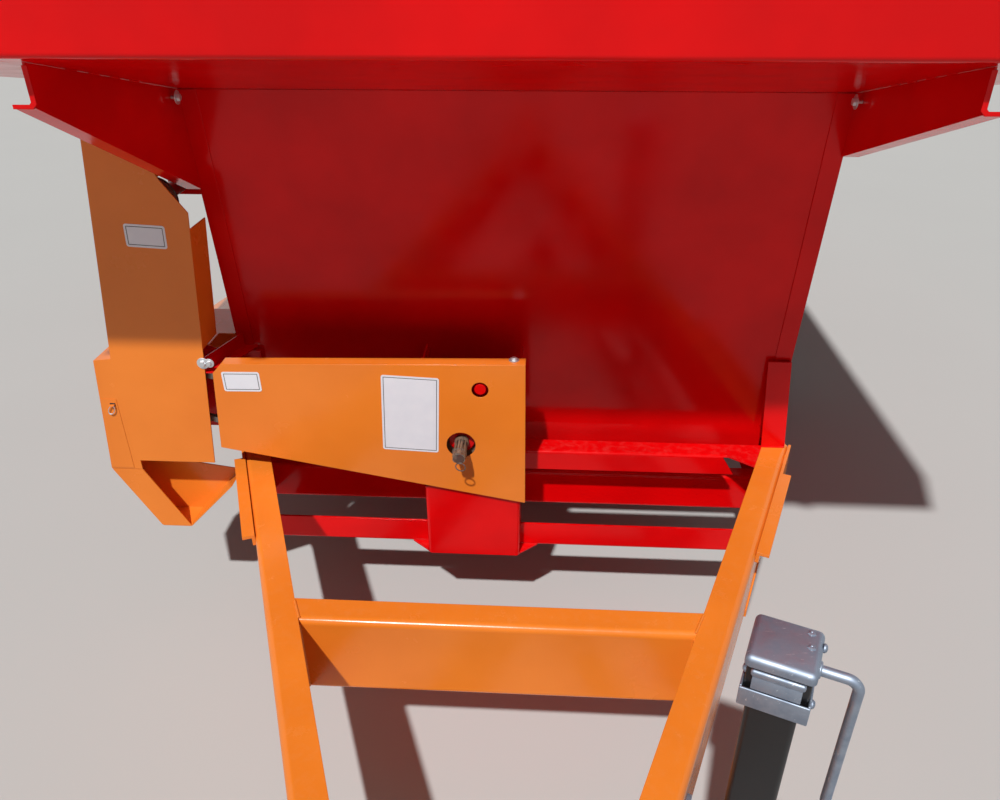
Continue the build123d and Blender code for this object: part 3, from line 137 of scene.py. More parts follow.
redEnamel = sprayedEnamel("gloss enamel red, sprayed", "red", dustAmount=0.12, gloss=0.09, level=0.20)
orangeEnamel = sprayedEnamel("gloss enamel orange, sprayed", "orange", dustAmount=0.08, gloss=0.16, level=0.4)
blackEnamel = sprayedEnamel("satin enamel black, sprayed", "black", dustAmount=0.5, gloss=0.3, level=0.5)
wheelEnamel = sprayedEnamel("gloss enamel wheel white, sprayed", "wheel", dustAmount=0.6, gloss=0.25,
                            level=0.5)


def zincPlate(name, light, dark, roughness):
    # Zinc plating on pressed steel: blue grey, cloudy, with dull handling marks and small scratches
    material, tree, shader, place = newMaterial(name)
    clouds = addNode(tree, "ShaderNodeTexNoise", {"Scale": cells(28), "Detail": 5.0}, {"Vector": place})
    cloud = addNode(tree, "ShaderNodeMapRange", {"From Min": 0.35, "From Max": 0.7}, {"Value": clouds["Fac"]})
    grey = addNode(tree, "ShaderNodeMix", {"data_type": "RGBA", 6: light, 7: dark}, {0: cloud["Result"]})
    stretch = addNode(tree, "ShaderNodeMapping", {"Scale": (1.0, 6.0, 1.0), "Rotation": (0.0, 0.0, 0.7)},
                      {"Vector": place})
    marks = addNode(tree, "ShaderNodeTexNoise", {"Scale": cells(16), "Detail": 6.0, "Roughness": 0.7},
                    {"Vector": stretch["Vector"]})
    scratch = addNode(tree, "ShaderNodeMapRange", {"From Min": 0.62, "From Max": 0.68},
                      {"Value": marks["Fac"]})
    coloured = addNode(tree, "ShaderNodeMix", {"data_type": "RGBA", 7: "#DDE3E8"},
                       {0: scratch["Result"], 6: grey[2]})
    tree.links.new(coloured[2], shader.inputs["Base Color"])
    rough = addNode(tree, "ShaderNodeMapRange",
                    {"From Min": 0.3, "From Max": 0.7, "To Min": roughness, "To Max": roughness + 0.16},
                    {"Value": clouds["Fac"]})
    tree.links.new(rough["Result"], shader.inputs["Roughness"])
    shader.inputs["Metallic"].default_value = 1.0
    grain = addNode(tree, "ShaderNodeTexNoise", {"Scale": cells(5), "Detail": 3.0}, {"Vector": place})
    soft = addNode(tree, "ShaderNodeBevel", {"samples": 4, "Radius": 0.001}, {})
    bump = addNode(tree, "ShaderNodeBump", {"Strength": 0.15, "Distance": 0.0004},
                   {"Height": grain["Fac"], "Normal": soft["Normal"]})
    tree.links.new(bump["Normal"], shader.inputs["Normal"])
    return material


def wornSteel(name, steel, rust, rustFrom, rustTo, patch):
    # Bare mild steel: grey where it is rubbed, brown rust in patches and pits
    material, tree, shader, place = newMaterial(name)
    patches = addNode(tree, "ShaderNodeTexNoise", {"Scale": cells(patch), "Detail": 8.0, "Roughness": 0.65},
                      {"Vector": place})
    rusted = addNode(tree, "ShaderNodeMapRange", {"From Min": rustFrom, "From Max": rustTo},
                     {"Value": patches["Fac"]})
    fine = addNode(tree, "ShaderNodeTexNoise", {"Scale": cells(4), "Detail": 4.0}, {"Vector": place})
    tone = addNode(tree, "ShaderNodeMix", {"data_type": "RGBA", 6: rust[0], 7: rust[1]}, {0: fine["Fac"]})
    coloured = addNode(tree, "ShaderNodeMix", {"data_type": "RGBA", 6: steel},
                       {0: rusted["Result"], 7: tone[2]})
    tree.links.new(coloured[2], shader.inputs["Base Color"])
    bare = addNode(tree, "ShaderNodeMath", {"operation": "SUBTRACT", 0: 1.0}, {1: rusted["Result"]})
    tree.links.new(bare["Value"], shader.inputs["Metallic"])
    rough = addNode(tree, "ShaderNodeMapRange", {"To Min": 0.34, "To Max": 0.82}, {"Value": rusted["Result"]})
    tree.links.new(rough["Result"], shader.inputs["Roughness"])
    bump = addNode(tree, "ShaderNodeBump", {"Strength": 0.5, "Distance": 0.0008}, {"Height": fine["Fac"]})
    tree.links.new(bump["Normal"], shader.inputs["Normal"])
    return material


def castIron():
    # Grey iron casting under thin dull paint, with the sand's fine bumps
    material, tree, shader, place = newMaterial("grey cast iron, sand cast")
    clouds = addNode(tree, "ShaderNodeTexNoise", {"Scale": cells(30), "Detail": 5.0}, {"Vector": place})
    coloured = addNode(tree, "ShaderNodeMix", {"data_type": "RGBA", 6: "#3B3C3D", 7: "#565552"},
                       {0: clouds["Fac"]})
    tree.links.new(coloured[2], shader.inputs["Base Color"])
    shader.inputs["Roughness"].default_value = 0.55
    sand = addNode(tree, "ShaderNodeTexNoise", {"Scale": cells(2.5), "Detail": 3.0}, {"Vector": place})
    bump = addNode(tree, "ShaderNodeBump", {"Strength": 0.6, "Distance": 0.001}, {"Height": sand["Fac"]})
    tree.links.new(bump["Normal"], shader.inputs["Normal"])
    return material


def tyreRubber():
    # Moulded black rubber: matt, with brown dust in patches
    material, tree, shader, place = newMaterial("tyre rubber, moulded")
    clouds = addNode(tree, "ShaderNodeTexNoise", {"Scale": cells(45), "Detail": 6.0, "Roughness": 0.7},
                     {"Vector": place})
    dusty = addNode(tree, "ShaderNodeMapRange", {"From Min": 0.42, "From Max": 0.75, "To Max": 0.6},
                    {"Value": clouds["Fac"]})
    coloured = addNode(tree, "ShaderNodeMix", {"data_type": "RGBA", 6: "#262626", 7: "#5F574B"},
                       {0: dusty["Result"]})
    tree.links.new(coloured[2], shader.inputs["Base Color"])
    shader.inputs["Roughness"].default_value = 0.72
    grain = addNode(tree, "ShaderNodeTexNoise", {"Scale": cells(3), "Detail": 4.0}, {"Vector": place})
    bump = addNode(tree, "ShaderNodeBump", {"Strength": 0.3, "Distance": 0.0008}, {"Height": grain["Fac"]})
    tree.links.new(bump["Normal"], shader.inputs["Normal"])
    return material


def plateVinyl():
    # White vinyl film with nothing on it: bright, smooth, cool white with faint grey clouds
    material, tree, shader, place = newMaterial("white vinyl film, laminated")
    clouds = addNode(tree, "ShaderNodeTexNoise", {"Scale": cells(35), "Detail": 3.0}, {"Vector": place})
    coloured = addNode(tree, "ShaderNodeMix", {"data_type": "RGBA", 6: "#E9ECF2", 7: "#DDE1EA"},
                       {0: clouds["Fac"]})
    tree.links.new(coloured[2], shader.inputs["Base Color"])
    shader.inputs["Roughness"].default_value = 0.32
    wrinkle = addNode(tree, "ShaderNodeTexNoise", {"Scale": cells(20), "Detail": 1.0}, {"Vector": place})
    bump = addNode(tree, "ShaderNodeBump", {"Strength": 0.1, "Distance": 0.0005}, {"Height": wrinkle["Fac"]})
    tree.links.new(bump["Normal"], shader.inputs["Normal"])
    return material


zincFinish = zincPlate("zinc plate, electroplated sheet", light="#A3ADBC", dark="#8A95A5", roughness=0.46)
# Paler copy of the sheet's zinc for the bolts: its light tones are painted highlight, so the bolts read
# bright where they lie in shade
boltFinishPaintedHighlight = zincPlate("zinc plate on bolts, paled as painted highlight", light="#DFE2E4", dark="#CDD1D4", roughness=0.45)
bareSteel = wornSteel("mild steel, rolled and worn", steel="#8C8680", rust=("#6B4A33", "#85583A"),
                      rustFrom=0.52, rustTo=0.72, patch=18)
rustySteel = wornSteel("mild steel, machined and rusted", steel="#8A8076", rust=("#6A5444", "#94765C"),
                       rustFrom=0.30, rustTo=0.55, patch=9)
ironFinish = castIron()
rubberFinish = tyreRubber()
vinylFinish = plateVinyl()

slotFinish = {
    "red_enamel": redEnamel,
    "orange_enamel": orangeEnamel,
    "wheel_paint": wheelEnamel,
    "tyre_rubber": rubberFinish,
    "bare_steel": bareSteel,
    "cast_iron": ironFinish,
    "black_enamel": blackEnamel,
    "zinc_plate": zincFinish,
}
nodeFinish = {"input_shaft": rustySteel}

for part in frame["record"]["subparts"]:
    name = part["node"]
    finish = nodeFinish.get(name, slotFinish[part["material_slot"]])
    mesh = frame["nodes"][name].data
    mesh.materials.clear()
    mesh.materials.append(finish)
print("finishes on the frame's nodes")


# Modelling tools

def addPiece(name, bm, slotName, body, finish=None, sharpAngle=35):
    # Finished piece from a bmesh, riding its body, smooth but for its sharp edges
    bmesh.ops.recalc_face_normals(bm, faces=bm.faces)
    mesh = bpy.data.meshes.new(name)
    bm.to_mesh(mesh)
    bm.free()
    mesh.materials.append(finish or slotFinish[slotName])
    mesh.shade_smooth()
    mesh.set_sharp_from_angle(angle=radians(sharpAngle))
    piece = bpy.data.objects.new(name, mesh)
    bpy.context.scene.collection.objects.link(piece)
    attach(piece, body)
    return piece


def aimed(origin, axis):
    # Place whose Z points along an axis
    return Matrix.Translation(Vector(origin)) @ Vector(axis).to_track_quat("Z", "Y").to_matrix().to_4x4()


def scaled(profile, radius, height=1.0):
    # Profile of radii and heights, stretched to a size
    return [(r * radius, z * height) for r, z in profile]


def turned(bm, points, steps, place):
    # Shape turned from radius and height points round its own Z
    verts = [bm.verts.new((radius, 0, height)) for radius, height in points]
    edges = [bm.edges.new(pair) for pair in zip(verts, verts[1:])]
    before = set(bm.verts) - set(verts)
    bmesh.ops.spin(bm, geom=verts + edges, axis=(0, 0, 1), cent=(0, 0, 0), angle=2 * pi, steps=steps,
                   use_merge=True)
    made = [v for v in bm.verts if v not in before]
    bmesh.ops.remove_doubles(bm, verts=made, dist=0.000001)
    made = [v for v in bm.verts if v not in before]
    bmesh.ops.transform(bm, matrix=place, verts=made)


def block(bm, size, place, bevelWidth=0.0, segments=2):
    # Block with rounded edges
    made = bmesh.ops.create_cube(bm, size=1.0, matrix=Matrix.Diagonal((*size, 1.0)))["verts"]
    if bevelWidth:
        edges = list({edge for vert in made for edge in vert.link_edges})
        rounded = bmesh.ops.bevel(bm, geom=edges, offset=bevelWidth, offset_type="OFFSET", affect="EDGES",
                                  segments=segments, profile=0.5, material=-1)
        made = list({vert for face in rounded["faces"] for vert in face.verts}
                    | {vert for vert in made if vert.is_valid})
    bmesh.ops.transform(bm, matrix=place, verts=made)


fastener = {"washer": 1.05, "washerThick": 0.12, "washerEdge": 0.97, "washerRound": 0.8, "head": 0.58,
            "headHeight": 0.42, "chamfer": 0.86}


def hexBolt(bm, origin, axis, flats):
    # Washer and six-sided head, sized by the spanner
    place = aimed(origin, axis)
    rim = flats * fastener["washer"]
    thick = flats * fastener["washerThick"]
    turned(bm, ((0, 0), (rim, 0), (rim, thick * fastener["washerRound"]),
                (rim * fastener["washerEdge"], thick), (0, thick)), 20, place)
    head = flats * fastener["head"]
    high = flats * fastener["headHeight"]
    turned(bm, ((0, thick), (head, thick), (head, high), (head * fastener["chamfer"], high + thick),
                (0, high + thick)), 6, place)


ripple = {"pitch": 1.5, "valley": 0.78, "valleyAt": 0.08, "crestAt": 0.55}


def weldBead(bm, start, end, radius):
    # Rippled bead along a seam
    run = Vector(end) - Vector(start)
    count = max(3, round(run.length / (ripple["pitch"] * radius)))
    points = [(0, 0)]
    for i in range(count):
        points.append((radius * ripple["valley"], run.length * (i + ripple["valleyAt"]) / count))
        points.append((radius, run.length * (i + ripple["crestAt"]) / count))
    points.append((0, run.length))
    turned(bm, points, 8, aimed(start, run))


def ringRod(bm, bend, rod, place, steps=20):
    # Round ring of rod
    verts = [bm.verts.new((bend + rod * cos(a * pi / 4), 0, rod * sin(a * pi / 4))) for a in range(8)]
    edges = [bm.edges.new((verts[a - 1], verts[a])) for a in range(8)]
    before = set(bm.verts) - set(verts)
    bmesh.ops.spin(bm, geom=verts + edges, axis=(0, 0, 1), cent=(0, 0, 0), angle=2 * pi, steps=steps,
                   use_merge=True)
    made = [v for v in bm.verts if v not in before]
    bmesh.ops.transform(bm, matrix=place, verts=made)


def sheetPiece(bm, outline, thickness, place, corner=0.0):
    # Flat sheet with its outline in X and Y, thickened along Z
    verts = [bm.verts.new((x, y, 0)) for x, y in outline]
    before = set(bm.verts) - set(verts)
    face = bm.faces.new(verts)
    if corner:
        bmesh.ops.bevel(bm, geom=list(face.verts), offset=corner, offset_type="OFFSET", affect="VERTICES",
                        segments=4, profile=0.5, material=-1)
    lone = [f for f in bm.faces if not any(v in before for v in f.verts)]
    raised = bmesh.ops.extrude_face_region(bm, geom=lone, use_keep_orig=True)["geom"]
    lifted = [item for item in raised if isinstance(item, bmesh.types.BMVert)]
    bmesh.ops.translate(bm, vec=(0, 0, thickness), verts=lifted)
    made = [v for v in bm.verts if v not in before]
    bmesh.ops.transform(bm, matrix=place, verts=made)


# Places that the pieces share, in metres

site = {"wallFoot": -0.61709, "boxHalf": 0.765, "railTop": 0.550, "railBottom": 0.340, "railAngle": 22.0,
        "railRootX": 0.805, "railRootAhead": 0.030, "guardAhead": 0.220, "barTop": 0.3397, "barDepth": 0.078}
railAngle = radians(site["railAngle"])
railDir = Vector((-sin(railAngle), -cos(railAngle), 0))
railInward = Vector((-cos(railAngle), sin(railAngle), 0))
front = Vector((0, -1, 0))
back = Vector((0, 1, 0))
up = Vector((0, 0, 1))


def ahead(distance):
    # Y of a place that far ahead of the front wall's foot
    return site["wallFoot"] - distance


def railPoint(distance, height):
    # Right rail's outer web at a distance ahead of the wall's foot
    along = (distance - site["railRootAhead"]) / cos(railAngle)
    foot = Vector((site["railRootX"], ahead(site["railRootAhead"]), height))
    return foot + railDir * along


def upright(x, distance, z):
    # Place for a sheet that faces forward: its X to the right, its Y up
    return Matrix.Translation((x, ahead(distance), z)) @ Matrix.Rotation(radians(90), 4, "X")


# Tyres: ribbed implement tread, in place of the plain rings

tyreShape = {"steps": 96, "crown": 0.3797, "crownHalf": 0.053, "shoulder": 0.1045, "shoulderRadius": 0.3683,
             "grooves": (0.064, 0.022, -0.022, -0.064), "grooveHalf": 0.0045, "grooveDepth": 0.009,
             "grooveFloor": 0.65, "blockPitch": 3, "blockInset": 0.002, "blockDepth": 0.006,
             "wall": ((0.0765, 0.1915), (0.0895, 0.1915), (0.0915, 0.203), (0.0885, 0.213), (0.095, 0.222),
                      (0.0965, 0.2245), (0.0985, 0.2245), (0.108, 0.244), (0.118, 0.267), (0.1235, 0.290),
                      (0.1240, 0.312), (0.1225, 0.3185), (0.1205, 0.3185), (0.1185, 0.336), (0.1125, 0.352),
                      (0.1085, 0.361)),
             "liner": ((0.090, 0.354), (0.110, 0.290), (0.076, 0.214))}
wheelNames = [f"{end}_{side}" for end in ("front", "rear") for side in ("left", "right")]


def wheelCentre(wheelName):
    low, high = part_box("tyre_" + wheelName)
    return (Vector(low) + Vector(high)) / 2


def treadRadius(x):
    drop = (abs(x) - tyreShape["crownHalf"]) / (tyreShape["shoulder"] - tyreShape["crownHalf"])
    return tyreShape["crown"] - max(0.0, drop) * (tyreShape["crown"] - tyreShape["shoulderRadius"])


def tyreSection():
    # Closed outline of the rubber, as places across the tyre and radii
    points = list(tyreShape["wall"]) + [(tyreShape["shoulder"], tyreShape["shoulderRadius"])]
    floorEdge = tyreShape["grooveFloor"]
    for groove in tyreShape["grooves"]:
        for edge, depth in ((1.0, 0.0), (floorEdge, 1.0), (-floorEdge, 1.0), (-1.0, 0.0)):
            x = groove + edge * tyreShape["grooveHalf"]
            points.append((x, treadRadius(x) - depth * tyreShape["grooveDepth"]))
    points.append((-tyreShape["shoulder"], tyreShape["shoulderRadius"]))
    points += [(-x, r) for x, r in reversed(tyreShape["wall"])]
    points += [(-x, r) for x, r in reversed(tyreShape["liner"])] + list(tyreShape["liner"])
    return points


for wheelName in wheelNames:
    bm = bmesh.new()
    ring = [bm.verts.new((x, 0, r)) for x, r in tyreSection()]
    edges = [bm.edges.new((ring[i - 1], ring[i])) for i in range(len(ring))]
    bmesh.ops.spin(bm, geom=ring + edges, axis=(1, 0, 0), cent=(0, 0, 0), angle=2 * pi,
                   steps=tyreShape["steps"], use_merge=True)
    bmesh.ops.recalc_face_normals(bm, faces=bm.faces)
    shoulderBlocks = []
    for face in bm.faces:
        middle = face.calc_center_median()
        turn = floor(atan2(middle.z, middle.y) / (2 * pi) * tyreShape["steps"])
        outer = tyreShape["grooves"][0] < abs(middle.x) < tyreShape["shoulder"] + tyreShape["blockInset"]
        onTread = hypot(middle.y, middle.z) > tyreShape["shoulderRadius"] - tyreShape["blockDepth"]
        if outer and onTread and turn % tyreShape["blockPitch"] == 0:
            shoulderBlocks.append(face)
    bmesh.ops.inset_individual(bm, faces=shoulderBlocks, thickness=tyreShape["blockInset"],
                               depth=-tyreShape["blockDepth"])
    bmesh.ops.translate(bm, vec=wheelCentre(wheelName), verts=bm.verts)
    tyre = addPiece("tyreTread_" + wheelName, bm, "tyre_rubber", "wheel_" + wheelName, sharpAngle=40)
    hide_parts("tyre_" + wheelName)
print("tyres")

# Wheel nuts, hub caps and valves

hub = {"nuts": 6, "circle": 0.068, "flats": 0.021, "discFace": 0.0335,
       "stud": ((0, 0), (0.0075, 0), (0.0075, 0.023), (0.0065, 0.024), (0, 0.024)),
       "capFace": 0.091, "capRadius": 0.036, "capDepth": 0.014,
       "cap": ((0, 0), (1, 0), (1, 0.5), (0.93, 0.8), (0.75, 1), (0, 1)),
       "valveCircle": 0.148, "valveFace": 0.031, "valveTurn": 0.6,
       "valve": ((0, 0), (0.0064, 0), (0.0056, 0.008), (0.004, 0.010), (0.004, 0.034), (0, 0.034))}
for wheelName in wheelNames:
    centre = wheelCentre(wheelName)
    out = Vector((1 if centre.x > 0 else -1, 0, 0))
    bm = bmesh.new()
    for i in range(hub["nuts"]):
        turn = 2 * pi * i / hub["nuts"]
        spot = centre + Vector((0, cos(turn), sin(turn))) * hub["circle"] + out * hub["discFace"]
        hexBolt(bm, spot, out, hub["flats"])
        turned(bm, hub["stud"], 10, aimed(spot, out))
    turned(bm, scaled(hub["cap"], hub["capRadius"], hub["capDepth"]), 28,
           aimed(centre + out * hub["capFace"], out))
    valveWay = Vector((0, sin(hub["valveTurn"]), cos(hub["valveTurn"])))
    turned(bm, hub["valve"], 10, aimed(centre + valveWay * hub["valveCircle"] + out * hub["valveFace"], out))
    addPiece("wheelNuts_" + wheelName, bm, "zinc_plate", "wheel_" + wheelName, boltFinishPaintedHighlight)
print("wheel nuts")

# Zinc bolts at the wagon's front: on the wings, on the arm and on the shield's flange

boltPlaces = {"wing": (0.7605, 0.178, 1.514), "wingFlats": 0.015, "wingShank": 0.013, "wingRod": 0.004,
              "arm": (-0.792, 0.2203, 0.866), "armFlats": 0.015,
              "armSecond": (-0.775, 0.2203, 0.867), "armSecondFlats": 0.012,
              "flange": (0.0148, 0.207, 0.8891), "flangeFlats": 0.013}
bm = bmesh.new()
x, distance, z = boltPlaces["wing"]
rod, shank = boltPlaces["wingRod"], boltPlaces["wingShank"]
for side in (-1, 1):
    turned(bm, ((0, 0), (rod, 0), (rod, shank), (0, shank)), 12,
           aimed((side * x, ahead(distance), z), (-side, 0, 0)))
    hexBolt(bm, (side * (x - shank), ahead(distance), z), (-side, 0, 0), boltPlaces["wingFlats"])
for boltName, axis in (("arm", front), ("armSecond", front), ("flange", up)):
    x, distance, z = boltPlaces[boltName]
    hexBolt(bm, (x, ahead(distance), z), axis, boltPlaces[boltName + "Flats"])
addPiece("frontBolts", bm, "zinc_plate", "wagon", boltFinishPaintedHighlight)

# Bolts and grease nipples of the flange bearings, as distance behind the wall's foot, height and sides

bearingBolts = {"table": ((0.380, 1.265, (1,)), (0.540, 0.945, (-1, 1)), (0.740, 0.735, (-1, 1)),
                          (3.190, 0.735, (-1, 1))),
                "square": 0.031, "face": 0.7772, "flats": 0.014, "nippleOut": 0.787, "nippleUp": 0.034,
                "nipple": ((0, 0), (0.004, 0), (0.004, 0.005), (0.0025, 0.007), (0.003, 0.011), (0, 0.012))}
bm = bmesh.new()
for behind, height, sides in bearingBolts["table"]:
    for side in sides:
        for dy in (-1, 1):
            for dz in (-1, 1):
                spot = (side * bearingBolts["face"], ahead(-behind) + dy * bearingBolts["square"],
                        height + dz * bearingBolts["square"])
                hexBolt(bm, spot, (side, 0, 0), bearingBolts["flats"])
        spot = (side * bearingBolts["nippleOut"], ahead(-behind), height + bearingBolts["nippleUp"])
        turned(bm, bearingBolts["nipple"], 8, aimed(spot, up))

# Cover screws of the gearbox and of the beater guard, then the gearbox cover and its breather

gearboxCover = {"face": -0.930, "behind": 0.380, "height": 1.265, "half": 0.062, "flats": 0.013,
                "rim": 0.060, "rise": 0.008,
                "cover": ((0, 0), (1, 0), (1, 0.6), (0.94, 1), (0.5, 1), (0.42, 1.6), (0, 1.6)),
                "breatherIn": 0.05, "breatherUp": 0.080,
                "breather": ((0, 0), (0.014, 0), (0.014, 0.008), (0.009, 0.010), (0.009, 0.022), (0, 0.024))}
coverFace, coverHeight = gearboxCover["face"], gearboxCover["height"]
coverY = ahead(-gearboxCover["behind"])
for dy in (-1, 0, 1):
    for dz in (-1, 1):
        spot = (coverFace, coverY + dy * gearboxCover["half"], coverHeight + dz * gearboxCover["half"])
        hexBolt(bm, spot, (-1, 0, 0), gearboxCover["flats"])
beaterGuard = {"face": 0.8256, "spots": ((0.380, 1.265), (0.540, 0.945)), "turns": (0.6, 2.5, 4.4),
               "circle": 0.058, "flats": 0.012}
for behind, height in beaterGuard["spots"]:
    for turn in beaterGuard["turns"]:
        spot = (beaterGuard["face"], ahead(-behind) + beaterGuard["circle"] * cos(turn),
                height + beaterGuard["circle"] * sin(turn))
        hexBolt(bm, spot, (1, 0, 0), beaterGuard["flats"])
addPiece("sideBolts", bm, "zinc_plate", "wagon", boltFinishPaintedHighlight)

bm = bmesh.new()
turned(bm, scaled(gearboxCover["cover"], gearboxCover["rim"], gearboxCover["rise"]), 36,
       aimed((coverFace, coverY, coverHeight), (-1, 0, 0)))
turned(bm, gearboxCover["breather"], 12,
       aimed((coverFace + gearboxCover["breatherIn"], coverY, coverHeight + gearboxCover["breatherUp"]), up))
addPiece("gearboxCover", bm, "cast_iron", "wagon")
print("bolts")

# Weld beads of the tongue: crossmember to rails, gussets to rails, nose plate

bead = {"small": 0.0035, "large": 0.005}
bm = bmesh.new()
crossSeam = {"ahead": 0.796, "railWidth": 0.068, "footGap": 0.008, "headGap": 0.010, "topStart": 0.006,
             "topEnd": (0.025, 0.060)}
crossY = ahead(crossSeam["ahead"])
crossEdge = railPoint(crossSeam["ahead"], 0) + railInward * crossSeam["railWidth"]  # rail's inner edge
seamX = crossEdge.x - (crossEdge.y - crossY) * sin(railAngle) / cos(railAngle)
for side in (-1, 1):
    weldBead(bm, (side * seamX, crossY, site["railBottom"] + crossSeam["footGap"]),
             (side * seamX, crossY, site["railTop"] - crossSeam["headGap"]), bead["large"])
    topOut, topBack = crossSeam["topEnd"]
    weldBead(bm, (side * seamX, crossY + crossSeam["topStart"], site["railTop"]),
             (side * (seamX + topOut), crossY + topBack, site["railTop"]), bead["small"])
gussetSeam = {"top": 0.550, "start": 0.064, "reach": 0.490, "foot": 0.370, "footGap": 0.004, "proud": 0.001}
gussetEnd = gussetSeam["reach"] / cos(railAngle)
for side in (-1, 1):
    corners = []
    for along, height in ((gussetSeam["start"], gussetSeam["top"]), (gussetEnd, gussetSeam["foot"]),
                          (gussetEnd, site["railBottom"] + gussetSeam["footGap"])):
        spot = railPoint(site["railRootAhead"], height) + railDir * along - railInward * gussetSeam["proud"]
        corners.append(Vector((side * spot.x, spot.y, spot.z)))
    for start, end in zip(corners, corners[1:]):
        weldBead(bm, start, end, bead["small"])
noseSeam = {"half": 0.043, "levels": (0.390, 0.410, 0.480, 0.500), "railInset": 0.770, "gap": 0.012}
noseY = ahead(site["railRootAhead"] + noseSeam["railInset"] / tan(railAngle)) - noseSeam["gap"]
for level in noseSeam["levels"]:
    weldBead(bm, (-noseSeam["half"], noseY, level), (noseSeam["half"], noseY, level), bead["large"])
addPiece("orangeWelds", bm, "orange_enamel", "wagon")

# Weld beads of the box: corner posts, pedestal, side stakes, stitches of the wings

bm = bmesh.new()
postSeam = {"ahead": 0.0505, "inner": 0.724, "outer": 0.786, "rise": 0.001}
postY, postZ = ahead(postSeam["ahead"]), site["railTop"] + postSeam["rise"]
for side in (-1, 1):
    weldBead(bm, (side * postSeam["inner"], postY, postZ), (side * postSeam["outer"], postY, postZ),
             bead["small"])
standSeam = {"left": -0.230, "right": 0.035, "front": 0.171, "footGap": 0.008, "headGap": 0.004,
             "cope": ((0.002, 0.214), (0.050, 0.172)), "copeUp": 0.007}
standY, barFoot = ahead(standSeam["front"]), site["barTop"] - site["barDepth"]
for x, outward in ((standSeam["left"], -1), (standSeam["right"], 1)):
    weldBead(bm, (x, standY, barFoot + standSeam["footGap"]),
             (x, standY, site["barTop"] - standSeam["headGap"]), bead["small"])
    start, end = [(x + outward * along, ahead(distance), barFoot + standSeam["copeUp"])
                  for along, distance in standSeam["cope"]]
    weldBead(bm, start, end, bead["small"])
stakeSeam = {"first": 0.850, "pitch": 0.610, "count": 5, "half": 0.036, "proud": 0.001,
             "runs": ((0.620, 0.700), (1.40, 1.50))}
for i in range(stakeSeam["count"]):
    stakeY = ahead(-stakeSeam["first"] - stakeSeam["pitch"] * i)
    for side in (-1, 1):
        x = side * (site["boxHalf"] + stakeSeam["proud"])
        for y in (stakeY - stakeSeam["half"], stakeY + stakeSeam["half"]):
            for low, high in stakeSeam["runs"]:
                weldBead(bm, (x, y, low), (x, y, high), bead["small"])
wingSeam = {"x": 0.7595, "foot": (0.320, 1.5670), "top": (0.620, 1.6345), "count": 4, "share": 0.45}
for side in (-1, 1):
    start = Vector((side * wingSeam["x"], ahead(wingSeam["foot"][0]), wingSeam["foot"][1]))
    end = Vector((side * wingSeam["x"], ahead(wingSeam["top"][0]), wingSeam["top"][1]))
    for i in range(wingSeam["count"]):
        stitchStart = start.lerp(end, i / wingSeam["count"])
        stitchEnd = start.lerp(end, (i + wingSeam["share"]) / wingSeam["count"])
        weldBead(bm, stitchStart, stitchEnd, bead["small"])
addPiece("redWelds", bm, "red_enamel", "wagon", sharpAngle=60)
print("welds")

# Folded lips on the front edges of the wings

wingLip = {"ahead": 0.6921, "inner": 0.757, "width": 0.009, "outer": 0.799, "top": 1.643, "flange": 1.582,
           "foot": 1.575, "bend": 0.004, "corner": 0.008, "thickness": 0.0025}
lipInner = wingLip["inner"]
lipEdge = lipInner + wingLip["width"]
lipOutline = ((lipInner, wingLip["top"]), (lipEdge, wingLip["top"]),
              (lipEdge, wingLip["flange"] + wingLip["bend"]), (lipEdge + wingLip["bend"], wingLip["flange"]),
              (wingLip["outer"], wingLip["flange"]), (wingLip["outer"], wingLip["foot"]),
              (lipInner + wingLip["corner"], wingLip["foot"]),
              (lipInner, wingLip["foot"] + wingLip["corner"]))
bm = bmesh.new()
for side in (-1, 1):
    sheetPiece(bm, [(side * x, z) for x, z in lipOutline], wingLip["thickness"],
               upright(0, wingLip["ahead"], 0))
addPiece("wingLips", bm, "red_enamel", "wagon")

# Blank plates on the guards, white with a fine dark border

plates = {"large": {"x": -0.2555, "z": 0.736, "wide": 0.150, "high": 0.226, "ahead": 0.2341, "tilt": -2.5},
          "small": {"x": -0.6925, "z": 0.822, "wide": 0.100, "high": 0.057, "ahead": 0.2341, "tilt": 1.0},
          "guard": {"x": -0.870, "z": 1.204, "wide": 0.100, "high": 0.057, "ahead": 0.2201, "tilt": -3.0}}
film = {"thickness": 0.0005, "corner": 0.006, "border": 0.006, "line": 0.0016, "lineThickness": 0.00065}
plateBm, lineBm = bmesh.new(), bmesh.new()
for plate in plates.values():
    place = upright(plate["x"], plate["ahead"], plate["z"]) @ Matrix.Rotation(radians(plate["tilt"]), 4, "Z")
    half, high = plate["wide"] / 2, plate["high"] / 2
    sheetPiece(plateBm, ((-half, -high), (half, -high), (half, high), (-half, high)), film["thickness"],
               place, film["corner"])
    half, high, line = half - film["border"], high - film["border"], film["line"] / 2
    for cx, cy, sx, sy in ((0, high, half, line), (0, -high, half, line), (half, 0, line, high),
                           (-half, 0, line, high)):
        sheetPiece(lineBm, ((cx - sx, cy - sy), (cx + sx, cy - sy), (cx + sx, cy + sy), (cx - sx, cy + sy)),
                   film["lineThickness"], place)
addPiece("blankPlates", plateBm, None, "wagon", vinylFinish)
addPiece("plateBorders", lineBm, "black_enamel", "wagon")
print("blank plates")
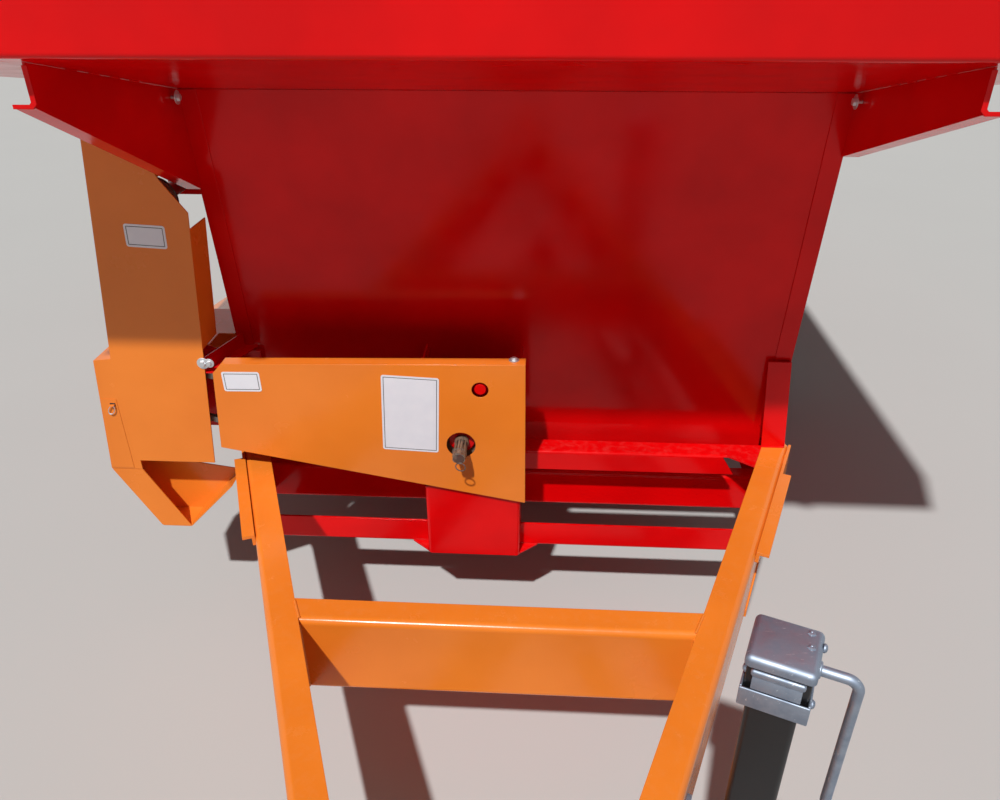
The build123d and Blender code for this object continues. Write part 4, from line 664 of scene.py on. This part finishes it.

# Hinged flap at the guard's outer edge, with its tab and hairpin, and a thin black sheet as painted shade in
# the opening the tab passes through

flap = {"outline": ((-1.0505, 0.752), (-1.0935, 0.752), (-1.1145, 0.531), (-1.0505, 0.531)),
        "thickness": 0.0009, "tab": (0.012, 0.0025, 0.020), "tabRounding": 0.0008,
        "slotAt": (-1.0635, 0.735), "slotShade": (0.015, 0.010, 0.0012), "slotShadeRounding": 0.0003}
hairpin = {"shift": -0.004, "drop": 0.014, "out": 0.006, "lean": -28.0, "squash": 0.55, "bend": 0.014,
           "rod": 0.0018}
slotX, slotZ = flap["slotAt"]
bm = bmesh.new()
sheetPiece(bm, flap["outline"], flap["thickness"], upright(0, site["guardAhead"], 0))
slotPlace = upright(slotX, site["guardAhead"] + flap["thickness"], slotZ)
block(bm, flap["tab"], slotPlace, flap["tabRounding"])
addPiece("guardFlap", bm, "orange_enamel", "wagon")
# Painted shade: a thin black sheet stands in for the dark of the opening round the tab
bm = bmesh.new()
block(bm, flap["slotShade"], slotPlace, flap["slotShadeRounding"])
addPiece("guardSlotShade", bm, "black_enamel", "wagon")
bm = bmesh.new()
loopPlace = (upright(slotX + hairpin["shift"], site["guardAhead"] + hairpin["out"], slotZ - hairpin["drop"])
             @ Matrix.Rotation(radians(hairpin["lean"]), 4, "Z")
             @ Matrix.Diagonal((hairpin["squash"], 1.0, 1.0, 1.0)))
ringRod(bm, hairpin["bend"], hairpin["rod"], loopPlace)
addPiece("guardHairpin", bm, "zinc_plate", "wagon", boltFinishPaintedHighlight)

# End of the input shaft: chamfered tip, locking ring, a loose ring that hangs on it, and splines

splineEnd = {"x": -0.124, "z": 0.645, "ahead": 0.299, "radius": 0.0176, "rod": 0.0016,
             "tip": ((0, 0), (0.80, 0), (0.92, 0.003), (0.92, 0.008), (0, 0.008)), "tipProud": 0.001,
             "ringBend": 0.98, "ringBack": 0.022,
             "looseBend": 0.013, "looseAt": (0.004, -0.0005, -0.026), "looseAxis": (0.15, 1, 0.1),
             "splines": 12, "splineSize": (0.0028, 0.003, 0.060), "splineCircle": 0.93, "splineBack": 0.038,
             "splineRounding": 0.0006}
bm = bmesh.new()
tip = Vector((splineEnd["x"], ahead(splineEnd["ahead"]), splineEnd["z"]))
radius = splineEnd["radius"]
turned(bm, scaled(splineEnd["tip"], radius), 24,
       aimed(tip, back) @ Matrix.Translation((0, 0, -splineEnd["tipProud"])))
ringRod(bm, radius * splineEnd["ringBend"], splineEnd["rod"],
        aimed(tip + back * splineEnd["ringBack"], back), 28)
ringRod(bm, splineEnd["looseBend"], splineEnd["rod"],
        aimed(tip + Vector(splineEnd["looseAt"]), splineEnd["looseAxis"]))
for i in range(splineEnd["splines"]):
    turn = 2 * pi * i / splineEnd["splines"]
    spot = tip + Vector((cos(turn), 0, sin(turn))) * radius * splineEnd["splineCircle"]
    place = aimed(spot + back * splineEnd["splineBack"], back) @ Matrix.Rotation(-turn, 4, "Z")
    block(bm, splineEnd["splineSize"], place, splineEnd["splineRounding"], 1)
addPiece("splineRing", bm, "bare_steel", "input_shaft")

# Painted hub round the input shaft, seen through the shield's hole

inputHub = {"ahead": 0.196, "bore": 0.0185, "radius": 0.036, "depth": 0.014, "rounding": 0.003}
bm = bmesh.new()
bore, radius, depth, rounding = inputHub["bore"], inputHub["radius"], inputHub["depth"], inputHub["rounding"]
turned(bm, ((bore, 0), (radius, 0), (radius, depth - rounding), (radius - rounding, depth), (bore, depth)),
       28, aimed((splineEnd["x"], ahead(inputHub["ahead"]), splineEnd["z"]), front))
addPiece("inputHub", bm, "red_enamel", "input_shaft")
print("latch and shaft end")

# Jack head: folded zinc cover over the black tube, in place of the plain cap

jack = {"ahead": 1.173, "standOff": 0.1005, "base": 0.900, "mountHeight": 0.445}
axis = railPoint(jack["ahead"], jack["base"]) - railInward * jack["standOff"]
jackPlace = Matrix.Translation(axis) @ Matrix((railDir, -railInward, up)).transposed().to_4x4()


def onJack(x, y, z):
    # Place in the jack's own directions: X forward along its rail, Y outward, Z up
    return jackPlace @ Matrix.Translation((x, y, z))


def foldedCap(bm, half, foot, top, bend, gauge, place):
    # Folded cap: rounded top and corners, open below, with a sheet's thickness
    made = bmesh.ops.create_cube(bm, size=1.0, matrix=Matrix.Translation((0, 0, (foot + top) / 2))
                                 @ Matrix.Diagonal((2 * half, 2 * half, top - foot, 1.0)))["verts"]
    slack = 0.0001  # height over which a vertex still counts as on the open edge
    faces = {face for vert in made for face in vert.link_faces}
    bottom = [face for face in faces if face.calc_center_median().z < foot + slack]
    bmesh.ops.delete(bm, geom=bottom, context="FACES_ONLY")
    edges = {edge for vert in made for edge in vert.link_edges
             if not all(abs(v.co.z - foot) < slack for v in edge.verts)}
    before = set(bm.verts) - set(made)
    bmesh.ops.bevel(bm, geom=list(edges), offset=bend, offset_type="OFFSET", affect="EDGES", segments=5,
                    profile=0.5, material=-1)
    shell = [face for face in bm.faces if not any(v in before for v in face.verts)]
    bmesh.ops.recalc_face_normals(bm, faces=shell)
    bmesh.ops.solidify(bm, geom=shell, thickness=gauge)
    verts = [v for v in bm.verts if v not in before]
    bmesh.ops.transform(bm, matrix=place, verts=verts)


headCover = {"half": 0.0485, "top": 0.058, "foot": 0.041, "bend": 0.009, "gauge": 0.003}
bm = bmesh.new()
foldedCap(bm, headCover["half"], headCover["foot"], headCover["top"], headCover["bend"], headCover["gauge"],
          jackPlace)
skirt = {"top": -0.002, "foot": -0.036, "gauge": 0.004, "rounding": 0.0018}
skirtHigh, skirtMiddle = skirt["top"] - skirt["foot"], (skirt["top"] + skirt["foot"]) / 2
skirtOut = headCover["half"] - skirt["gauge"] / 2
for side in (1, -1):
    block(bm, (skirt["gauge"], 2 * headCover["half"], skirtHigh), onJack(side * skirtOut, 0, skirtMiddle),
          skirt["rounding"], 3)
    block(bm, (2 * (headCover["half"] - skirt["gauge"]), skirt["gauge"], skirtHigh),
          onJack(0, side * skirtOut, skirtMiddle), skirt["rounding"], 3)
window = {"size": (0.003, 0.068, 0.028), "at": (0.0425, 0, 0.013), "lean": -12.0, "rounding": 0.001,
          "lip": (0.009, 0.074, 0.012), "lipAt": (0.0440, 0, 0.0295), "lipRounding": 0.0042}
block(bm, window["size"], onJack(*window["at"]) @ Matrix.Rotation(radians(window["lean"]), 4, "Y"),
      window["rounding"])
block(bm, window["lip"], onJack(*window["lipAt"]), window["lipRounding"], 4)
rivets = {"spots": ((-0.034, 0.030), (-0.006, 0.033)), "sunk": 0.0002,
          "head": ((0, 0), (0.0062, 0), (0.0056, 0.0014), (0.0022, 0.0022), (0, 0.0010))}
for x, y in rivets["spots"]:
    turned(bm, rivets["head"], 5, onJack(x, y, headCover["top"] - rivets["sunk"]))
cheeks = {"half": 0.044, "length": 0.082, "height": 0.072, "at": (-0.003, 0, -0.004), "rounding": 0.004}
domeNuts = {"spots": ((1, -0.022, 0.049), (1, -0.012, 0.010), (-1, 0.026, 0.016), (1, 0.020, -0.020)),
            "nut": ((0, 0), (0.007, 0), (0.0068, 0.0025), (0.0045, 0.005), (0, 0.006))}
for side, x, z in domeNuts["spots"]:
    onCover = z < 0 or z > headCover["foot"]  # the others sit on the black cheeks
    spot = jackPlace @ Vector((x, side * (headCover["half"] if onCover else cheeks["half"]), z))
    turned(bm, domeNuts["nut"], 14, aimed(spot, -railInward * side))
crankCollar = {"up": 0.028,
               "collar": ((0.0085, 0), (0.013, 0), (0.013, 0.006), (0.0115, 0.008), (0.0085, 0.008))}
turned(bm, crankCollar["collar"], 20,
       aimed(jackPlace @ Vector((0, cheeks["half"], crankCollar["up"])), -railInward))
cover = addPiece("jackCover", bm, "zinc_plate", "jack")
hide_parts("jack_head")

bm = bmesh.new()
block(bm, (cheeks["length"], 2 * cheeks["half"], cheeks["height"]), onJack(*cheeks["at"]),
      cheeks["rounding"], 3)
addPiece("jackCheeks", bm, "black_enamel", "jack")

# Pull pin with its ring on the jack's swivel collar

pull = {"up": 0.036, "out": 0.039, "ring": 0.015, "ringRod": 0.0019, "ringUp": 0.030,
        "pin": ((0, 0), (0.009, 0), (0.009, 0.018), (0.0072, 0.020), (0.005, 0.020), (0.005, 0.034),
                (0, 0.035))}
bm = bmesh.new()
pinFoot = railPoint(jack["ahead"], jack["mountHeight"] + pull["up"]) - railInward * pull["out"]
turned(bm, pull["pin"], 16, aimed(pinFoot, up))
ringRod(bm, pull["ring"], pull["ringRod"], aimed(pinFoot + up * (pull["ringUp"] + pull["ring"]), railDir))
addPiece("jackPullPin", bm, "zinc_plate", "jack", boltFinishPaintedHighlight)

# Weld round the jack's mount on the rail

mountWeld = {"out": 0.009, "bend": 0.031, "rod": 0.003}
bm = bmesh.new()
mountCentre = railPoint(jack["ahead"], jack["mountHeight"]) - railInward * mountWeld["out"]
ringRod(bm, mountWeld["bend"], mountWeld["rod"], aimed(mountCentre, -railInward), 32)
addPiece("jackMountWeld", bm, "zinc_plate", "wagon")
print("jack")

# Slat bolts of the apron, on its upper and its lower run

slats = {"first": 0.740, "run": 2.450, "count": 8, "height": 0.735, "rise": 0.0732, "chainX": 0.560,
         "boltBack": 0.008, "boltHalf": 0.018, "flats": 0.010}
bm = bmesh.new()
for i in range(slats["count"]):
    y = ahead(-slats["first"] - slats["run"] * (i + 0.5) / slats["count"]) + slats["boltBack"]
    for x in (-slats["chainX"], slats["chainX"]):
        for level in (-1, 1):
            for dx in (-slats["boltHalf"], slats["boltHalf"]):
                spot = (x + dx, y, slats["height"] + level * slats["rise"])
                hexBolt(bm, spot, (0, 0, level), slats["flats"])
addPiece("slatBolts", bm, "zinc_plate", "wagon", boltFinishPaintedHighlight)
print("slat bolts")

# Studio

studio = {"floorHalf": 40.0, "floorClouds": 900, "floorRoughness": 0.9,
          "skyLight": 0.14, "skyTone": "#E9EBEE", "skySeen": 0.80,
          "sunTurn": 15.0, "sunHeight": 54.0, "sunPower": 3.5, "sunSpread": 1.6,
          "fillFrom": (5.0, -6.0, 3.5), "fillTo": (0, -0.9, 0.6), "fillSize": 5.0, "fillPower": 10.0}

# Matt floor paint: pale warm grey with faint wide clouds, and no gloss
floorMaterial, floorTree, floorShader, floorPlace = newMaterial("studio floor, painted")
floorCloud = addNode(floorTree, "ShaderNodeTexNoise", {"Scale": cells(studio["floorClouds"]), "Detail": 3.0},
                     {"Vector": floorPlace})
floorTint = addNode(floorTree, "ShaderNodeMix", {"data_type": "RGBA", 6: "#C0BFBC", 7: "#BDBCB9"},
                    {0: floorCloud["Fac"]})
floorTree.links.new(floorTint[2], floorShader.inputs["Base Color"])
floorShader.inputs["Roughness"].default_value = studio["floorRoughness"]
bm = bmesh.new()
bmesh.ops.create_grid(bm, x_segments=1, y_segments=1, size=studio["floorHalf"])
floorMesh = bpy.data.meshes.new("studioFloor")
bm.to_mesh(floorMesh)
bm.free()
floorMesh.materials.append(floorMaterial)
studioFloor = bpy.data.objects.new("studioFloor", floorMesh)
bpy.context.scene.collection.objects.link(studioFloor)

# Sky: dim as a light, pale where the camera or a reflection sees it
world = bpy.data.worlds.new("studioSky")
bpy.context.scene.world = world
world.use_nodes = True
skyTree = world.node_tree
rays = addNode(skyTree, "ShaderNodeLightPath", {}, {})
seen = addNode(skyTree, "ShaderNodeMath", {"operation": "MAXIMUM"},
               {0: rays["Is Camera Ray"], 1: rays["Is Glossy Ray"]})
seenThrough = addNode(skyTree, "ShaderNodeMath", {"operation": "MAXIMUM"},
                      {0: seen["Value"], 1: rays["Is Transmission Ray"]})
skyStrength = addNode(skyTree, "ShaderNodeMapRange",
                      {"To Min": studio["skyLight"], "To Max": studio["skySeen"]},
                      {"Value": seenThrough["Value"]})
sky = skyTree.nodes["Background"]
sky.inputs["Color"].default_value = linear(studio["skyTone"])
skyTree.links.new(skyStrength["Result"], sky.inputs["Strength"])

sun = bpy.data.lights.new("keyLamp", "SUN")
sun.energy = studio["sunPower"]
sun.angle = radians(studio["sunSpread"])
sunLamp = bpy.data.objects.new("keyLamp", sun)
sunTurn, sunTilt = radians(studio["sunTurn"]), radians(90 - studio["sunHeight"])
sunRay = Vector((sin(sunTurn) * sin(sunTilt), cos(sunTurn) * sin(sunTilt), -cos(sunTilt)))
sunLamp.rotation_euler = sunRay.to_track_quat("-Z", "Y").to_euler()
bpy.context.scene.collection.objects.link(sunLamp)
fill = bpy.data.lights.new("fillLamp", "AREA")
fill.shape = "DISK"
fill.size = studio["fillSize"]
fill.energy = studio["fillPower"]
fillLamp = bpy.data.objects.new("fillLamp", fill)
fillLamp.location = studio["fillFrom"]
fillLamp.rotation_euler = (Vector(studio["fillTo"]) - fillLamp.location).to_track_quat("-Z", "Y").to_euler()
bpy.context.scene.collection.objects.link(fillLamp)

bpy.context.scene.view_settings.view_transform = "Standard"

# Camera at the photograph's angle, fitted to the tongue and the front wall

shot = {"lens": 29.12, "sensor": 36.0, "clipEnd": 200, "across": 0.083, "ahead": 2.051, "height": 1.810,
        "pitch": 29.35, "yaw": 3.23, "roll": -0.15}
pitch, yaw, roll = radians(shot["pitch"]), radians(shot["yaw"]), radians(shot["roll"])
forward = Vector((-sin(yaw) * cos(pitch), cos(yaw) * cos(pitch), -sin(pitch)))
right = Vector((cos(yaw), sin(yaw), 0))
down = forward.cross(right)
imageRight = right * cos(roll) - down * sin(roll)
imageDown = right * sin(roll) + down * cos(roll)
cameraData = bpy.data.cameras.new("photoCamera")
cameraData.lens = shot["lens"]
cameraData.sensor_width = shot["sensor"]
cameraData.clip_end = shot["clipEnd"]
camera = bpy.data.objects.new("photoCamera", cameraData)
turnedView = Matrix((imageRight, -imageDown, -forward)).transposed().to_4x4()
camera.matrix_world = Matrix.Translation((shot["across"], ahead(shot["ahead"]), shot["height"])) @ turnedView
bpy.context.scene.collection.objects.link(camera)
bpy.context.scene.camera = camera
print("studio and camera set")
